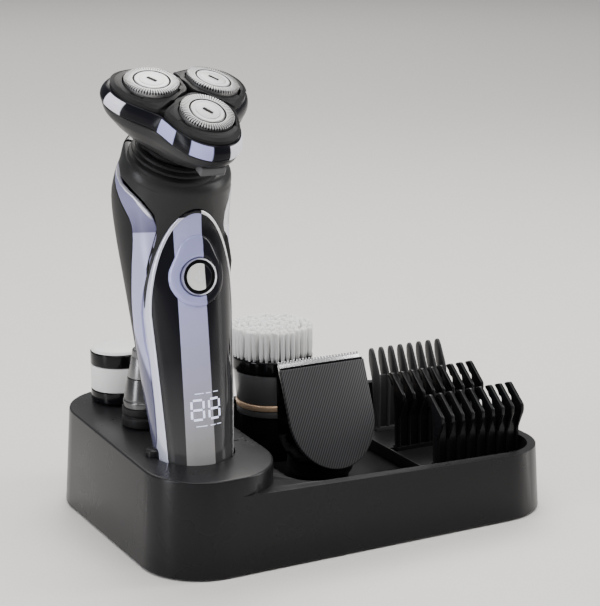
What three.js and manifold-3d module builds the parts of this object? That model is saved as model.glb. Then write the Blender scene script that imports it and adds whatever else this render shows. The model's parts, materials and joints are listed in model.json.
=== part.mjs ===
// A three-head rotary shaver in its charging stand, with a nose trimmer, a banded detail head,
// a cleansing brush, a clipper head and three guide combs.
// Millimetres, +Z up, the front of the stand towards -Y, the stand's long side along X.

import * as THREE from 'three';
import { mergeVertices } from 'three/addons/utils/BufferGeometryUtils.js';
import Module from 'manifold-3d';

const wasm = await Module();
wasm.setup();

// ---------------------------------------------------------------- driving dimensions

// The space kept between two pieces that touch.
const gap = 0.3;

// Moves the whole set so that its box is centred on X.
const centring = 1.26;

const stand = {
  length: 165, depth: 116, corner: 23, draft: 3, wall: 2.4, lowest: 0.6,
  platformTop: 37.4, platformSlope: 1.8, platformEdge: -32, platformRound: 24,
  rimTop: 26.6, rimSlope: 1.65, rimWidth: 5, trayFloor: 13, ceiling: 10.8,
  plateBottom: 1.4, plateTop: 3.4, footRadius: 5, jack: [-57, 58, 15],
};

const handle = {
  base: [-57, -23.5, 38], lean: 8, wall: 2, capTop: -13.5,
  // Each point is a height, a radius and a shift of the centre towards the back.
  line: [
    [-18, 11.4, -0.6], [-16.5, 12.7, -0.6], [0, 14.2, -0.6], [30, 16.7, 0.6], [58, 18.8, 2],
    [80, 20.4, 3.4], [93, 21.3, 1.6], [101, 20.3, -1.2], [106, 18, -1.6], [110, 13.5, -1.6], [112, 8, -1.6],
  ],
};

const panel = { arch: 50, archHeight: 36, halfWidth: 16.6, footHalfWidth: 13.3, foot: -13.2, rim: 1.3 };
const button = { height: 62.6, radius: 6.6, ringLow: 10.4, ringHigh: 6.3, rise: 8.2 };
const display = { height: 15, halfWidth: 7.5, halfHeight: 8, front: -10.6, back: -9.4 };

// The two seams down each side of the handle, seen from the side as [y, height].
const seams = {
  rear: [[9, 112], [3.5, 100], [-1.4, 91], [-4.8, 82], [-1.8, 66], [2, 51], [5.2, 30], [5.6, -20]],
  front: [
    [7, 112], [1, 99.5], [-8.6, 91.4], [-12.6, 82], [-9.6, 68], [-6.1, 55], [-4.2, 25], [-3.6, -20],
  ],
  steps: 28,
};

// What is inside the handle, and the charging contact under it.
const inside = { batteryY: 4, batteryRadius: 7, batteryTop: 56, boardTop: 80, foot: 4, motorRadius: 8.5 };
const port = { y: -0.6, bottom: -17.5, top: -10, bore: 1.8, radius: 4 };
const shaft = { radius: 1.3, hole: 3.2, top: -16 };
const gears = { bottom: -13.6, top: -12, centreTeeth: 12, centreRoot: 4, centreTip: 4.9,
  driveTeeth: 20, driveRoot: 7.5, driveTip: 8.4, stemTop: -5.6 };

const head = {
  top: [-57, -26.9, 166.85], tilt: [25.2, 3.4, 1.5],
  cutterCircle: 13.75, cutterRadius: 9.4, cutterTilt: 6.7, cutterAngles: [-90, 30, 150],
  frameBottom: -4.4, bandBottom: -10, bowlBottom: -20.6, swivelBottom: -22.4,
  neckTop: -23.6, neckBottom: -28,
};

const trimmer = { x: -60.6, y: 10, z: 38.3, radius: 9 };
const cap = { x: -58.2, y: 41, z: 39.4, radius: 11 };
const brush = { x: -0.2, y: 24, radius: 16.3, seat: 31, top: 66.4 };
const clipper = { x: 2, y: -29, z: 21.5, lean: 23, width: 36, height: 40, blade: 34.5, thickness: 9,
  foot: 16, footY: -11.5 };
const combs = [
  { name: 'comb_short', x: 57.2, y: -28, span: 38, teeth: 9, top: 45.5 },
  { name: 'comb_medium', x: 55.3, y: -3, span: 38, teeth: 9, top: 48 },
  { name: 'comb_long', x: 58.2, y: 22, span: 33, teeth: 8, top: 51.3, rounded: true },
];

const colours = {
  shell: [0x2b2b2d, 0.55, 0], rubber: [0x161617, 0.8, 0], trim: [0x9d9fd0, 0.18, 0.9],
  gloss: [0x0b0b10, 0.08, 0.3], chrome: [0xd8d8dc, 0.12, 1], steel: [0xb9b9bb, 0.3, 1],
  light: [0xe6ecff, 0.4, 0], board: [0x1f5a36, 0.5, 0], white: [0xf1f1ef, 0.5, 0],
  gold: [0xc9a27c, 0.25, 1], gear: [0xd9d6cc, 0.5, 0],
};

// ---------------------------------------------------------------- small tools

const radians = THREE.MathUtils.degToRad;

// The one closed geometry that a list of positions and faces makes, with its faces outward.
function closed(geometry) {
  const bare = new THREE.BufferGeometry();
  bare.setAttribute('position', geometry.getAttribute('position').clone());
  bare.setIndex(geometry.index ? geometry.index.clone() : null);
  const merged = mergeVertices(bare, 1e-4);
  const { array: points } = merged.getAttribute('position');
  const faces = [];
  let volume = 0;
  for (let i = 0; i < merged.index.count; i += 3) {
    const [a, b, c] = [0, 1, 2].map((k) => merged.index.getX(i + k));
    if (a === b || b === c || c === a) continue;
    faces.push(a, b, c);
    const [p, q, r] = [a, b, c].map((k) => new THREE.Vector3().fromArray(points, 3 * k));
    volume += p.dot(q.cross(r));
  }
  if (volume < 0) faces.reverse();
  merged.setIndex(faces);
  return merged;
}

function solid(geometry) {
  const clean = closed(geometry);
  const vertProperties = new Float32Array(clean.getAttribute('position').array);
  const triVerts = new Uint32Array(clean.index.array);
  return new wasm.Manifold(new wasm.Mesh({ numProp: 3, vertProperties, triVerts }));
}

function shape(body) {
  const mesh = body.getMesh();
  const geometry = new THREE.BufferGeometry();
  geometry.setAttribute('position', new THREE.BufferAttribute(mesh.vertProperties, 3));
  geometry.setIndex(new THREE.BufferAttribute(mesh.triVerts, 1));
  return geometry;
}

const join = (...bodies) => bodies.reduce((a, b) => a.add(b));
const cut = (body, ...tools) => tools.reduce((a, b) => a.subtract(b), body);
const common = (...bodies) => bodies.reduce((a, b) => a.intersect(b));

function box(x0, x1, y0, y1, z0, z1) {
  const geometry = new THREE.BoxGeometry(x1 - x0, y1 - y0, z1 - z0);
  return geometry.translate((x0 + x1) / 2, (y0 + y1) / 2, (z0 + z1) / 2);
}

// An upright disc or rod, with a cone when the top radius differs.
function rod(x, y, z0, z1, radius, sides = 24, topRadius = radius) {
  const geometry = new THREE.CylinderGeometry(topRadius, radius, z1 - z0, sides);
  return geometry.rotateX(Math.PI / 2).translate(x, y, (z0 + z1) / 2);
}

// A profile of [radius, height] points turned about Z.
function turned(points, sides = 20) {
  const profile = points.map(([r, z]) => new THREE.Vector2(r, z));
  if (points[0][0] > 0) profile.push(profile[0].clone());
  return new THREE.LatheGeometry(profile, sides).rotateX(Math.PI / 2);
}

// A stack of rings, each { z, shift, radius(angle) }, closed flat at both ends.
function lofted(rings, sides) {
  const geometry = new THREE.CylinderGeometry(1, 1, 1, sides, rings.length - 1);
  const position = geometry.getAttribute('position');
  for (let i = 0; i < position.count; i += 1) {
    const ring = rings[Math.round((position.getY(i) + 0.5) * (rings.length - 1))];
    const [x, y] = [position.getX(i), -position.getZ(i)];
    const reach = Math.hypot(x, y) < 0.5 ? 0 : ring.radius(Math.atan2(y, x));
    position.setXYZ(i, x * reach, y * reach + (ring.shift ?? 0), ring.z);
  }
  return geometry;
}

function polygon(points) {
  return new THREE.Shape(points.map(([x, y]) => new THREE.Vector2(x, y)));
}

function curved(points, count) {
  return new THREE.SplineCurve(points.map(([x, y]) => new THREE.Vector2(x, y))).getPoints(count)
    .map((p) => [p.x, p.y]);
}

function extruded(outline, z0, z1, curveSegments = 8) {
  const options = { depth: z1 - z0, bevelEnabled: false, curveSegments };
  return new THREE.ExtrudeGeometry(outline, options).translate(0, 0, z0);
}

// A side view in (y, z), extruded along X.
function alongX(outline, x0, x1, curveSegments = 8) {
  const turn = new THREE.Matrix4().makeBasis(
    new THREE.Vector3(0, 1, 0), new THREE.Vector3(0, 0, 1), new THREE.Vector3(1, 0, 0));
  return extruded(outline, x0, x1, curveSegments).applyMatrix4(turn);
}

// A front view in (x, z), extruded along Y.
function alongY(outline, y0, y1, curveSegments = 8) {
  return extruded(outline, -y1, -y0, curveSegments).rotateX(Math.PI / 2);
}

function roundedRectangle(x0, x1, y0, y1, radii) {
  const [frontLeft, frontRight, backRight, backLeft] = radii;
  const outline = new THREE.Shape();
  outline.absarc(x0 + frontLeft, y0 + frontLeft, frontLeft, Math.PI, 1.5 * Math.PI);
  outline.absarc(x1 - frontRight, y0 + frontRight, frontRight, 1.5 * Math.PI, 2 * Math.PI);
  outline.absarc(x1 - backRight, y1 - backRight, backRight, 0, Math.PI / 2);
  outline.absarc(x0 + backLeft, y1 - backLeft, backLeft, Math.PI / 2, Math.PI);
  return outline;
}

function placed(position, degrees = [0, 0, 0]) {
  const matrix = new THREE.Matrix4();
  matrix.makeRotationFromEuler(new THREE.Euler(...degrees.map(radians)));
  return matrix.setPosition(...position);
}

const model = new THREE.Group();

function addGroup(matrix, parent = model) {
  const group = new THREE.Group();
  matrix.decompose(group.position, group.quaternion, group.scale);
  parent.add(group);
  return group;
}

function add(group, name, body, colour) {
  const [color, roughness, metalness] = colours[colour];
  const geometry = body.isBufferGeometry ? closed(body) : shape(body);
  const mesh = new THREE.Mesh(geometry, new THREE.MeshStandardMaterial({ color, roughness, metalness }));
  mesh.name = name;
  group.add(mesh);
}

// ---------------------------------------------------------------- frames of the three leaning parts

const handleFrame = placed(handle.base, [-handle.lean, 0, 0]);
const headFrame = placed(head.top, head.tilt);
const headInHandle = handleFrame.clone().invert().multiply(headFrame);
const clipperFrame = placed([clipper.x, clipper.y, clipper.z], [-clipper.lean, 0, 0]);

// Everything under the XY plane of a frame.
function below(frame) {
  return solid(box(-120, 120, -120, 120, -240, 0).applyMatrix4(frame));
}

// ---------------------------------------------------------------- stand

// The stand's outer block, drawn in by inset all round, with its drafted walls.
function standBlock(inset, z0, z1) {
  const { length, depth, corner, draft } = stand;
  const [a, b, r] = [length / 2 - inset, depth / 2 - inset, corner - inset];
  const geometry = extruded(roundedRectangle(-a, a, -b, b, [r, r, r, r]), z0, z1, 6);
  const position = geometry.getAttribute('position');
  const lean = Math.tan(radians(draft));
  for (let i = 0; i < position.count; i += 1) {
    const narrow = lean * position.getZ(i);
    position.setX(i, position.getX(i) * (1 - narrow / a));
    position.setY(i, position.getY(i) * (1 - narrow / b));
  }
  return solid(geometry);
}

function platformPrism(inset) {
  const { depth, length, platformEdge, platformRound, lowest } = stand;
  const front = inset - depth / 2 + 1.4;
  const radii = [1, platformRound - inset, 1, 1];
  const outline = roundedRectangle(-length / 2 - 5, platformEdge - inset, front, depth / 2 + 5, radii);
  return solid(extruded(outline, lowest - 2, 45, 6));
}

function underPlatformTop(drop) {
  return below(placed([0, 0, stand.platformTop - drop], [stand.platformSlope, 0, 0]));
}

function standOuter() {
  const { lowest, rimTop, rimSlope } = stand;
  const block = standBlock(0, lowest, 45);
  const underRim = below(placed([25, 0, rimTop], [0, rimSlope, 0]));
  return join(common(block, platformPrism(0), underPlatformTop(0)), common(block, underRim));
}

function standInner() {
  const { wall, ceiling } = stand;
  const high = common(standBlock(wall, -1, 45), platformPrism(wall), underPlatformTop(wall));
  return join(high, standBlock(wall, -1, ceiling));
}

function trayRecess() {
  const { length, depth, rimWidth, platformEdge, trayFloor } = stand;
  const [right, front] = [length / 2 - rimWidth, depth / 2 - rimWidth - 0.6];
  const outline = roundedRectangle(platformEdge + 3, right, -front, front, [11, 17, 17, 11]);
  return solid(extruded(outline, trayFloor, 60, 6));
}

function standPosts() {
  const { trayFloor } = stand;
  return [
    rod(trimmer.x, trimmer.y, 36, 43.5, 4, 12), rod(cap.x, cap.y, 36.5, 46, 5, 12),
    rod(brush.x, brush.y, trayFloor - 1, brush.seat - gap, 13.4, 20),
    rod(brush.x, brush.y, brush.seat - 2, brush.seat + 8, 4, 12),
    rod(clipper.x, clipper.footY, trayFloor - 1, clipper.foot - gap, 11, 24),
    rod(clipper.x, clipper.footY, trayFloor - 1, clipper.foot + 5, 4, 12),
  ].map(solid);
}

function makeStandShell() {
  const wellBlock = solid(rod(0, port.y, -21.6, 4, 17, 20).applyMatrix4(handleFrame));
  const wellWall = common(wellBlock, underPlatformTop(1));
  const wellHole = solid(rod(0, port.y, -19.4, 6, 13.3, 24, 15.6).applyMatrix4(handleFrame));
  const pinHole = solid(rod(0, port.y, -24, -15, 1.7, 12).applyMatrix4(handleFrame));
  const jackHole = solid(rod(0, 0, -12, 12, 4.3, 16).rotateX(Math.PI / 2).translate(...stand.jack));
  const hollowed = cut(standOuter(), standInner(), trayRecess());
  return cut(join(hollowed, wellWall, ...standPosts()), wellHole, pinHole, jackHole);
}

function addStand() {
  add(model, 'stand_shell', makeStandShell(), 'shell');
  const { wall, plateBottom, plateTop, footRadius, jack } = stand;
  const slice = solid(box(-90, 90, -60, 60, plateBottom, plateTop));
  add(model, 'base_plate', common(standBlock(wall + gap, -1, plateTop), slice), 'rubber');
  [[-1, -1], [1, -1], [-1, 1], [1, 1]].forEach(([sx, sy], i) => {
    add(model, `foot_${i + 1}`, rod(sx * 68, sy * 44, 0, plateBottom - gap, footRadius, 20), 'rubber');
  });
  add(model, 'stand_circuit', box(-76, -42, 8, 46, 6, 7.6), 'board');
  add(addGroup(handleFrame), 'charge_pin', rod(0, port.y, -23, -14, shaft.radius, 12), 'steel');
  const socket = turned([[1.9, -10], [4, -10], [4, 0.4], [1.9, 0.4]], 16).rotateX(-Math.PI / 2);
  add(model, 'stand_jack', socket.translate(jack[0], jack[1] - 1.2, jack[2]), 'steel');
  add(model, 'comb_rack', makeCombRack(), 'rubber');
}

// A low block with one trough for the foot of each comb.
function makeCombRack() {
  const floor = stand.trayFloor + gap;
  const block = solid(box(34.4, 76.6, -39.5, 19, floor, floor + 5));
  const troughs = combs.map(({ x, y, span }) => {
    const half = span / 2 + 1.1;
    return solid(box(x - half, x + half, y - 10.3, y - 5.2, floor + 2, floor + 9));
  });
  return cut(block, ...troughs);
}

// ---------------------------------------------------------------- handle

function handleSolid(offset, sides = 28) {
  const spine = new THREE.CatmullRomCurve3(handle.line.map((p) => new THREE.Vector3(...p)));
  const stops = spine.getPoints(Math.round(1.4 * (handle.line.length - 1)));
  const rings = stops.map((p) => ({ z: p.x, shift: p.z, radius: () => p.y + offset }));
  return solid(lofted(rings, sides));
}

// The handle's wall, cut flat under the neck and open there for the drive shaft.
function handleWall(proud = 0) {
  const { wall, capTop } = handle;
  const neck = below(headInHandle.clone().multiply(placed([0, 0, head.neckBottom - gap])));
  const underLid = below(headInHandle.clone().multiply(placed([0, 0, head.neckBottom - gap - wall])));
  const above = solid(box(-30, 30, -30, 30, capTop, 130));
  const shaftHole = solid(rod(0, 0, -40, -20, shaft.hole, 16).applyMatrix4(headInHandle));
  return cut(common(handleSolid(proud), neck), common(handleSolid(-wall), underLid, above), shaftHole);
}

// Behind the rear seam is the rear shell, before the front seam the front shell, and the plated trim
// lies between them.
const rearSeam = curved(seams.rear, seams.steps);
const frontSeam = curved(seams.front, seams.steps);

function besideSeams(front, rear, x0, x1) {
  const outline = [...front, ...[...rear].reverse()];
  return solid(alongX(polygon(outline), x0, x1));
}

const moved = (line, shift) => line.map(([y, z]) => [y + shift, z]);

// The front panel's arch, drawn in by inset, down to the bottom cap.
function panelPrism(inset) {
  const { arch, archHeight, halfWidth, footHalfWidth, foot } = panel;
  const outline = new THREE.Shape();
  outline.moveTo(inset - footHalfWidth, foot + inset);
  outline.lineTo(footHalfWidth - inset, foot + inset);
  outline.lineTo(halfWidth - inset, arch);
  outline.absellipse(0, arch, halfWidth - inset, archHeight - inset, 0, Math.PI);
  return solid(alongY(outline, -30, -1.5, 14));
}

// Two circles, one above the other, inside one smooth outline.
function eggPrism(grow, y0, y1) {
  const { height, ringLow, ringHigh, rise } = button;
  const slant = Math.asin((ringLow - ringHigh) / rise);
  const outline = new THREE.Shape();
  outline.absarc(0, height, ringLow + grow, Math.PI - slant, 2 * Math.PI + slant);
  outline.absarc(0, height + rise, ringHigh + grow, slant, Math.PI - slant);
  return solid(alongY(outline, y0, y1, 10));
}

function addHandle() {
  const group = addGroup(handleFrame);
  const { capTop, wall } = handle;
  const half = gap / 2;
  const wallSkin = handleWall();
  const upper = solid(box(-40, 40, -40, 40, capTop + gap, 130));
  const far = [[60, 112], [60, -20]];
  const near = [[-60, 112], [-60, -20]];
  const rear = common(wallSkin, upper, besideSeams(moved(rearSeam, half), far, -40, 40));
  add(group, 'rear_shell', rear, 'rubber');
  const trimArea = besideSeams(moved(frontSeam, half), moved(rearSeam, -half), 0.5, 40);
  const trim = cut(common(wallSkin, upper, trimArea), panelPrism(-gap));
  add(group, 'side_trim_right', trim, 'trim');
  add(group, 'side_trim_left', shape(trim).scale(-1, 1, 1), 'trim');
  const aboveFoot = solid(box(-40, 40, -40, 0, panel.arch + 4, 130));
  const frontArea = common(besideSeams(near, moved(frontSeam, -half), -40, 40), aboveFoot);
  add(group, 'front_shell', cut(common(wallSkin, frontArea), panelPrism(-gap)), 'shell');
  const raised = handleWall(0.35);
  const frame = cut(panelPrism(0), panelPrism(panel.rim));
  add(group, 'panel_bezel', common(raised, upper, frame), 'chrome');
  const pane = common(handleWall(0.1), upper, panelPrism(panel.rim + gap));
  add(group, 'front_panel', cut(pane, eggPrism(gap, -40, 0)), 'gloss');
  const circle = (radius) => new THREE.Shape().absarc(0, button.height, radius, 0, 2 * Math.PI);
  const bore = solid(alongY(circle(button.radius + gap), -40, 0, 14));
  add(group, 'button_ring', cut(common(handleWall(0.9), eggPrism(0, -40, -2)), bore), 'chrome');
  add(group, 'power_button', alongY(circle(button.radius), -18, -13, 14), 'chrome');
  const [low, high] = [display.height - display.halfHeight, display.height + display.halfHeight];
  const glow = box(-display.halfWidth, display.halfWidth, display.front, display.back, low, high);
  add(group, 'display', glow, 'light');
  const portHole = solid(rod(0, port.y, -20, port.top, port.radius + gap, 16));
  const capArea = solid(box(-40, 40, -40, 40, -30, capTop));
  add(group, 'bottom_cap', cut(common(handleSolid(0), capArea), portHole), 'rubber');
  const tube = turned([
    [port.bore, port.bottom], [port.radius, port.bottom], [port.radius, port.top], [port.bore, port.top],
  ], 16);
  add(group, 'charge_port', tube.translate(0, port.y, 0), 'steel');
  const { batteryY, batteryRadius, batteryTop, boardTop, foot } = inside;
  add(group, 'battery', rod(0, batteryY, foot, batteryTop, batteryRadius, 24), 'gold');
  add(group, 'circuit_board', box(-9, 9, -6.6, -5.2, foot, boardTop), 'board');
}

// ---------------------------------------------------------------- neck and shaving head

const lobed = (mean, swing) => (angle) => mean + swing * Math.cos(3 * (angle + Math.PI / 2));

function lobedSolid(rings, sides = 36) {
  return solid(lofted(rings.map(([z, mean, swing]) => ({ z, radius: lobed(mean, swing) })), sides));
}

// The cutter's own frame: its centre on the head's top, leaning outward.
function cutterFrame(angle) {
  const turn = radians(angle);
  const [x, y] = [head.cutterCircle * Math.cos(turn), head.cutterCircle * Math.sin(turn)];
  return placed([x, y, -0.4], [0, 0, angle]).multiply(placed([0, 0, 0], [0, head.cutterTilt, 0]));
}

function makeCutterFrame() {
  const dome = lobedSolid([
    [head.frameBottom, 21.5, 5.1], [-3.8, 22.1, 5.5], [-2.7, 20.6, 5], [-1.7, 16.5, 3.6], [-0.8, 10, 1.5],
    [-0.2, 4, 0],
  ]);
  const holes = head.cutterAngles.map((angle) => (
    solid(rod(0, 0, -12, 6, head.cutterRadius + 0.6, 32).applyMatrix4(cutterFrame(angle)))));
  const grooves = [90, 210, 330].map((angle) => (
    solid(box(0, 40, -0.45, 0.45, -1.9, 4).applyMatrix4(placed([0, 0, 0], [0, 0, angle])))));
  const slope = [90, 210, 330].map((angle) => (
    solid(box(11, 40, -0.45, 0.45, -3.2, 4).applyMatrix4(placed([0, 0, 0], [0, 0, angle])))));
  return cut(dome, ...holes, ...grooves, ...slope);
}

function makeBand() {
  const { frameBottom, bandBottom } = head;
  const outer = lobedSolid([[bandBottom, 24.1, 5.6], [-7, 23.9, 5.8], [frameBottom - gap, 22.5, 5.5]]);
  const inner = lobedSolid([[bandBottom - 1, 22.3, 5.4], [frameBottom + 1, 20.7, 5.3]]);
  return cut(outer, inner);
}

function makeBowl() {
  const { bandBottom, bowlBottom } = head;
  const outer = lobedSolid([
    [bowlBottom, 15, 1.4], [-19.6, 17, 2.2], [-17, 20, 3.4], [-13.5, 22.9, 4.9],
    [bandBottom - gap, 23.9, 5.5],
  ]);
  const inner = lobedSolid([[-18.8, 14, 1.2], [-17, 18, 3], [-13.5, 21, 4.7], [-9, 22, 5.3]]);
  const tabSlot = solid(box(-5, 5, -32, -21, -21, -13.9));
  return cut(outer, inner, tabSlot, solid(rod(0, 0, -22, -15, 5.5, 20)));
}

function gearOutline(teeth, root, tip) {
  const outline = [];
  for (let i = 0; i < teeth; i += 1) {
    for (const [part, radius] of [[-0.27, root], [-0.13, tip], [0.13, tip], [0.27, root]]) {
      const angle = (2 * Math.PI * (i + part)) / teeth;
      outline.push([radius * Math.cos(angle), radius * Math.sin(angle)]);
    }
  }
  return polygon(outline);
}

function addHead() {
  const neck = addGroup(headFrame);
  const { neckTop, neckBottom, bowlBottom, swivelBottom, cutterCircle, cutterAngles } = head;
  add(neck, 'neck_collar', turned([
    [8, neckBottom], [15.2, neckBottom], [15.2, -26.9], [14.2, -26.5], [14.6, -25.6], [13.6, -25.2],
    [14, -24.3], [13.2, neckTop], [8, neckTop],
  ], 20), 'rubber');
  add(neck, 'motor', rod(0, 0, -50, neckBottom - handle.wall - 2 * gap, inside.motorRadius, 24), 'steel');
  const shaftFoot = neckBottom - handle.wall - gap;
  add(neck, 'motor_shaft', rod(0, 0, shaftFoot, shaft.top, shaft.radius, 12), 'steel');
  add(neck, 'swivel_ring', turned([
    [5.6, swivelBottom], [12.6, swivelBottom], [13.4, -21.8], [13.4, bowlBottom - gap],
    [5.6, bowlBottom - gap],
  ], 20), 'rubber');
  add(neck, 'head_bowl', makeBowl(), 'shell');
  add(neck, 'release_tab', box(-4.7, 4.7, -27, -22.4, -17.4, -14.2), 'gloss');
  const { bottom, top, centreTeeth, centreRoot, centreTip, driveTeeth, driveRoot, driveTip, stemTop } = gears;
  const centreWheel = extruded(gearOutline(centreTeeth, centreRoot, centreTip), bottom, top);
  const centreGear = join(solid(centreWheel), solid(rod(0, 0, -19, -13, 3.4, 16)));
  add(neck, 'centre_gear', cut(centreGear, solid(rod(0, 0, -20, -14.6, 2.3, 16))), 'gear');
  add(neck, 'cutter_frame', makeCutterFrame(), 'shell');
  add(neck, 'accent_band', makeBand(), 'trim');
  cutterAngles.forEach((angle, i) => {
    const wheel = addGroup(placed([0, 0, 0], [0, 0, angle]).multiply(placed([cutterCircle, 0, 0])), neck);
    const driveWheel = extruded(gearOutline(driveTeeth, driveRoot, driveTip), bottom, top);
    const stem = rod(0, 0, bottom + 0.6, stemTop, 1.2, 12);
    add(wheel, `drive_gear_${i + 1}`, join(solid(driveWheel), solid(stem)), 'gear');
    addCutter(addGroup(cutterFrame(angle), neck), i + 1);
  });
}

function addCutter(group, number) {
  const r = head.cutterRadius;
  add(group, `cutter_cap_${number}`, turned([
    [0, -0.8], [r - 0.9, -0.8], [r - 0.9, -3.4], [r, -3.4], [r, -0.5], [r - 0.5, 0], [r - 2.7, 0],
    [r - 2.9, -0.35], [r - 3.3, -0.35], [r - 3.5, 0], [0, 0],
  ], 20), 'steel');
  const blades = extruded(gearOutline(6, 3, r - 1.4), -2.3, -1.2);
  add(group, `rotor_${number}`, join(solid(blades), solid(rod(0, 0, -4, -2, 2.6, 12))), 'steel');
}

// ---------------------------------------------------------------- attachments on the platform

function addTrimmer() {
  const group = addGroup(placed([trimmer.x, trimmer.y, trimmer.z]));
  const r = trimmer.radius;
  add(group, 'trimmer_collar', turned([
    [4.6, 0], [r, 0], [r, 3.4], [r - 0.6, 3.9], [r - 0.3, 4.4], [r - 0.3, 7], [4.6, 7],
  ]), 'rubber');
  add(group, 'trimmer_body', turned([
    [0, 7 + gap], [r - 0.5, 7 + gap], [r - 0.8, 10], [r - 2.4, 18], [0, 18],
  ]), 'shell');
  add(group, 'trimmer_tip', turned([
    [3.2, 18 + gap], [r - 2.5, 18 + gap], [r - 4.2, 26], [r - 4.5, 28.4], [r - 5.1, 29], [3.2, 29],
  ]), 'steel');
  add(group, 'trimmer_cutter', rod(0, 0, 18 + gap, 28.4, 2.8, 12), 'steel');
}

function addCap() {
  const group = addGroup(placed([cap.x, cap.y, cap.z]));
  const r = cap.radius;
  add(group, 'cap_band_lower', turned([[5.6, 0], [r, 0], [r, 4.3], [5.6, 4.3]]), 'gloss');
  add(group, 'cap_body', turned([
    [5.6, 4.3 + gap], [r, 4.3 + gap], [r, 14.3], [r - 1.5, 14.3], [r - 1.5, 19.6],
    [r - 0.1, 19.6], [r - 1.4, 20.8], [5, 21.6], [0, 21.8], [0, 12], [5.6, 12],
  ]), 'white');
  const inner = r - 1.5 + gap;
  add(group, 'cap_band_upper', turned([
    [inner, 14.3 + gap], [r, 14.3 + gap], [r, 19.6 - gap], [inner, 19.6 - gap],
  ]), 'gloss');
}

// ---------------------------------------------------------------- attachments in the tray

function addBrush() {
  const group = addGroup(placed([brush.x, brush.y, brush.seat]));
  const r = brush.radius;
  add(group, 'brush_coupling', turned([
    [4.6, 0], [14.1, 0], [14.1, 2.4], [13, 2.4], [13, 5.3], [14.2, 5.3], [15.3, 17.2], [6, 17.2],
    [6, 9], [4.6, 9],
  ]), 'steel');
  add(group, 'brush_gold_ring', turned([[13.3, 2.7], [14.4, 2.7], [14.4, 5], [13.3, 5]]), 'gold');
  add(group, 'brush_ring', turned([
    [0, 17.5], [r - 0.5, 17.5], [r - 0.2, 18.5], [r - 0.2, 23.2], [0, 23.2],
  ]), 'gloss');
  add(group, 'brush_bristles', rod(0, 0, 23.5, brush.top - brush.seat, r, 28), 'white');
}

// A shield with straight sides and a round foot, standing on the frame's origin.
function shieldOutline(inset) {
  const { width, height } = clipper;
  const half = width / 2 - inset;
  const outline = new THREE.Shape();
  outline.moveTo(half, height - inset);
  outline.lineTo(-half, height - inset);
  outline.lineTo(-half, width / 2 + 2);
  outline.absellipse(0, width / 2 + 2, half, width / 2 + 2 - inset, Math.PI, 2 * Math.PI);
  return outline;
}

function bladePlate(halfWidth, z0, z1, teeth, toothDepth) {
  const outline = [[-halfWidth, z0], [halfWidth, z0], [halfWidth, z1]];
  const pitch = (2 * halfWidth) / (2 * teeth - 1);
  for (let i = 0; i < teeth - 1; i += 1) {
    const right = halfWidth - pitch * (2 * i + 1);
    const left = right - pitch;
    outline.push([right, z1], [right, z1 - toothDepth], [left, z1 - toothDepth], [left, z1]);
  }
  outline.push([-halfWidth, z1]);
  return polygon(outline);
}

function addClipper() {
  const group = addGroup(clipperFrame);
  const { height, thickness, blade } = clipper;
  add(group, 'clipper_cover', alongY(shieldOutline(0), 0, 1.8, 12), 'shell');
  const side = polygon([
    [1.8 + gap, 0.5], [thickness + 4, 3], [thickness + 4, 16], [thickness - 2, height - 6],
    [5.2, height - 1.5],
    [5.2, height - 9], [1.8 + gap, height - 9],
  ]);
  const wedge = common(solid(alongX(side, -30, 30)), solid(alongY(shieldOutline(0.5), -1, 30, 12)));
  const upright = clipperFrame.clone().invert();
  const coupling = rod(clipper.x, clipper.footY, 0, clipper.foot + 10 + gap, 13, 24).applyMatrix4(upright);
  add(group, 'clipper_housing', cut(wedge, solid(coupling)), 'rubber');
  const fixed = bladePlate(blade / 2, height - 8, height + 3, 18, 2);
  const moving = bladePlate(blade / 2 - 1.6, height - 8, height + 2.4, 17, 2);
  add(group, 'clipper_fixed_blade', alongY(fixed, 2.1, 3.2), 'steel');
  add(group, 'clipper_moving_blade', alongY(moving, 3.5, 4.6), 'steel');
  const foot = addGroup(placed([clipper.x, clipper.footY, clipper.foot]));
  add(foot, 'clipper_coupling', turned([
    [4.6, 0], [12, 0], [12.7, 2], [12.7, 10], [0, 10], [0, 6], [4.6, 6],
  ]), 'rubber');
}

// One guide comb: a foot, an upright wall and a row of hooked teeth along X.
function makeComb({ x, y, span, teeth, top, rounded }) {
  const foot = stand.trayFloor + 2 * gap + 2;
  const wallTop = top - 10;
  const hook = rounded
    ? [[-9.6, foot + 1], [-9.6, top - 14], [-8, top - 3], [-5.6, top], [-3, top - 1.5], [-2.4, top - 6],
      [-5.4, wallTop - 4]]
    : [[-9.6, foot + 1], [-9.2, top - 16], [-12.4, top - 9], [-12.2, top - 6.2], [-3.4, top + 0.6],
      [0, top - 0.8], [-1.6, top - 3], [-4.6, top - 5], [-6, wallTop - 4]];
  const side = polygon([...hook, [-6.6, foot + 1]]);
  const pitch = (span - 1.6) / (teeth - 1);
  const blades = Array.from({ length: teeth }, (_, i) => (
    solid(alongX(side, x - span / 2 + i * pitch, x - span / 2 + i * pitch + 1.6).translate(0, y, 0))));
  const wall = solid(box(x - span / 2 + 0.2, x + span / 2 - 0.2, y - 8.6, y - 7.2, foot + 1, wallTop));
  const base = solid(box(x - span / 2, x + span / 2, y - 9.8, y - 5.7, foot, foot + 4));
  return join(base, wall, ...blades);
}

addStand();
addHandle();
addHead();
addTrimmer();
addCap();
addBrush();
addClipper();
combs.forEach((comb) => add(model, comb.name, makeComb(comb), 'rubber'));

model.position.x = centring;

export default model;
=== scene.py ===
import json
import math
import random

import bpy
from mathutils import Matrix, Vector

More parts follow.
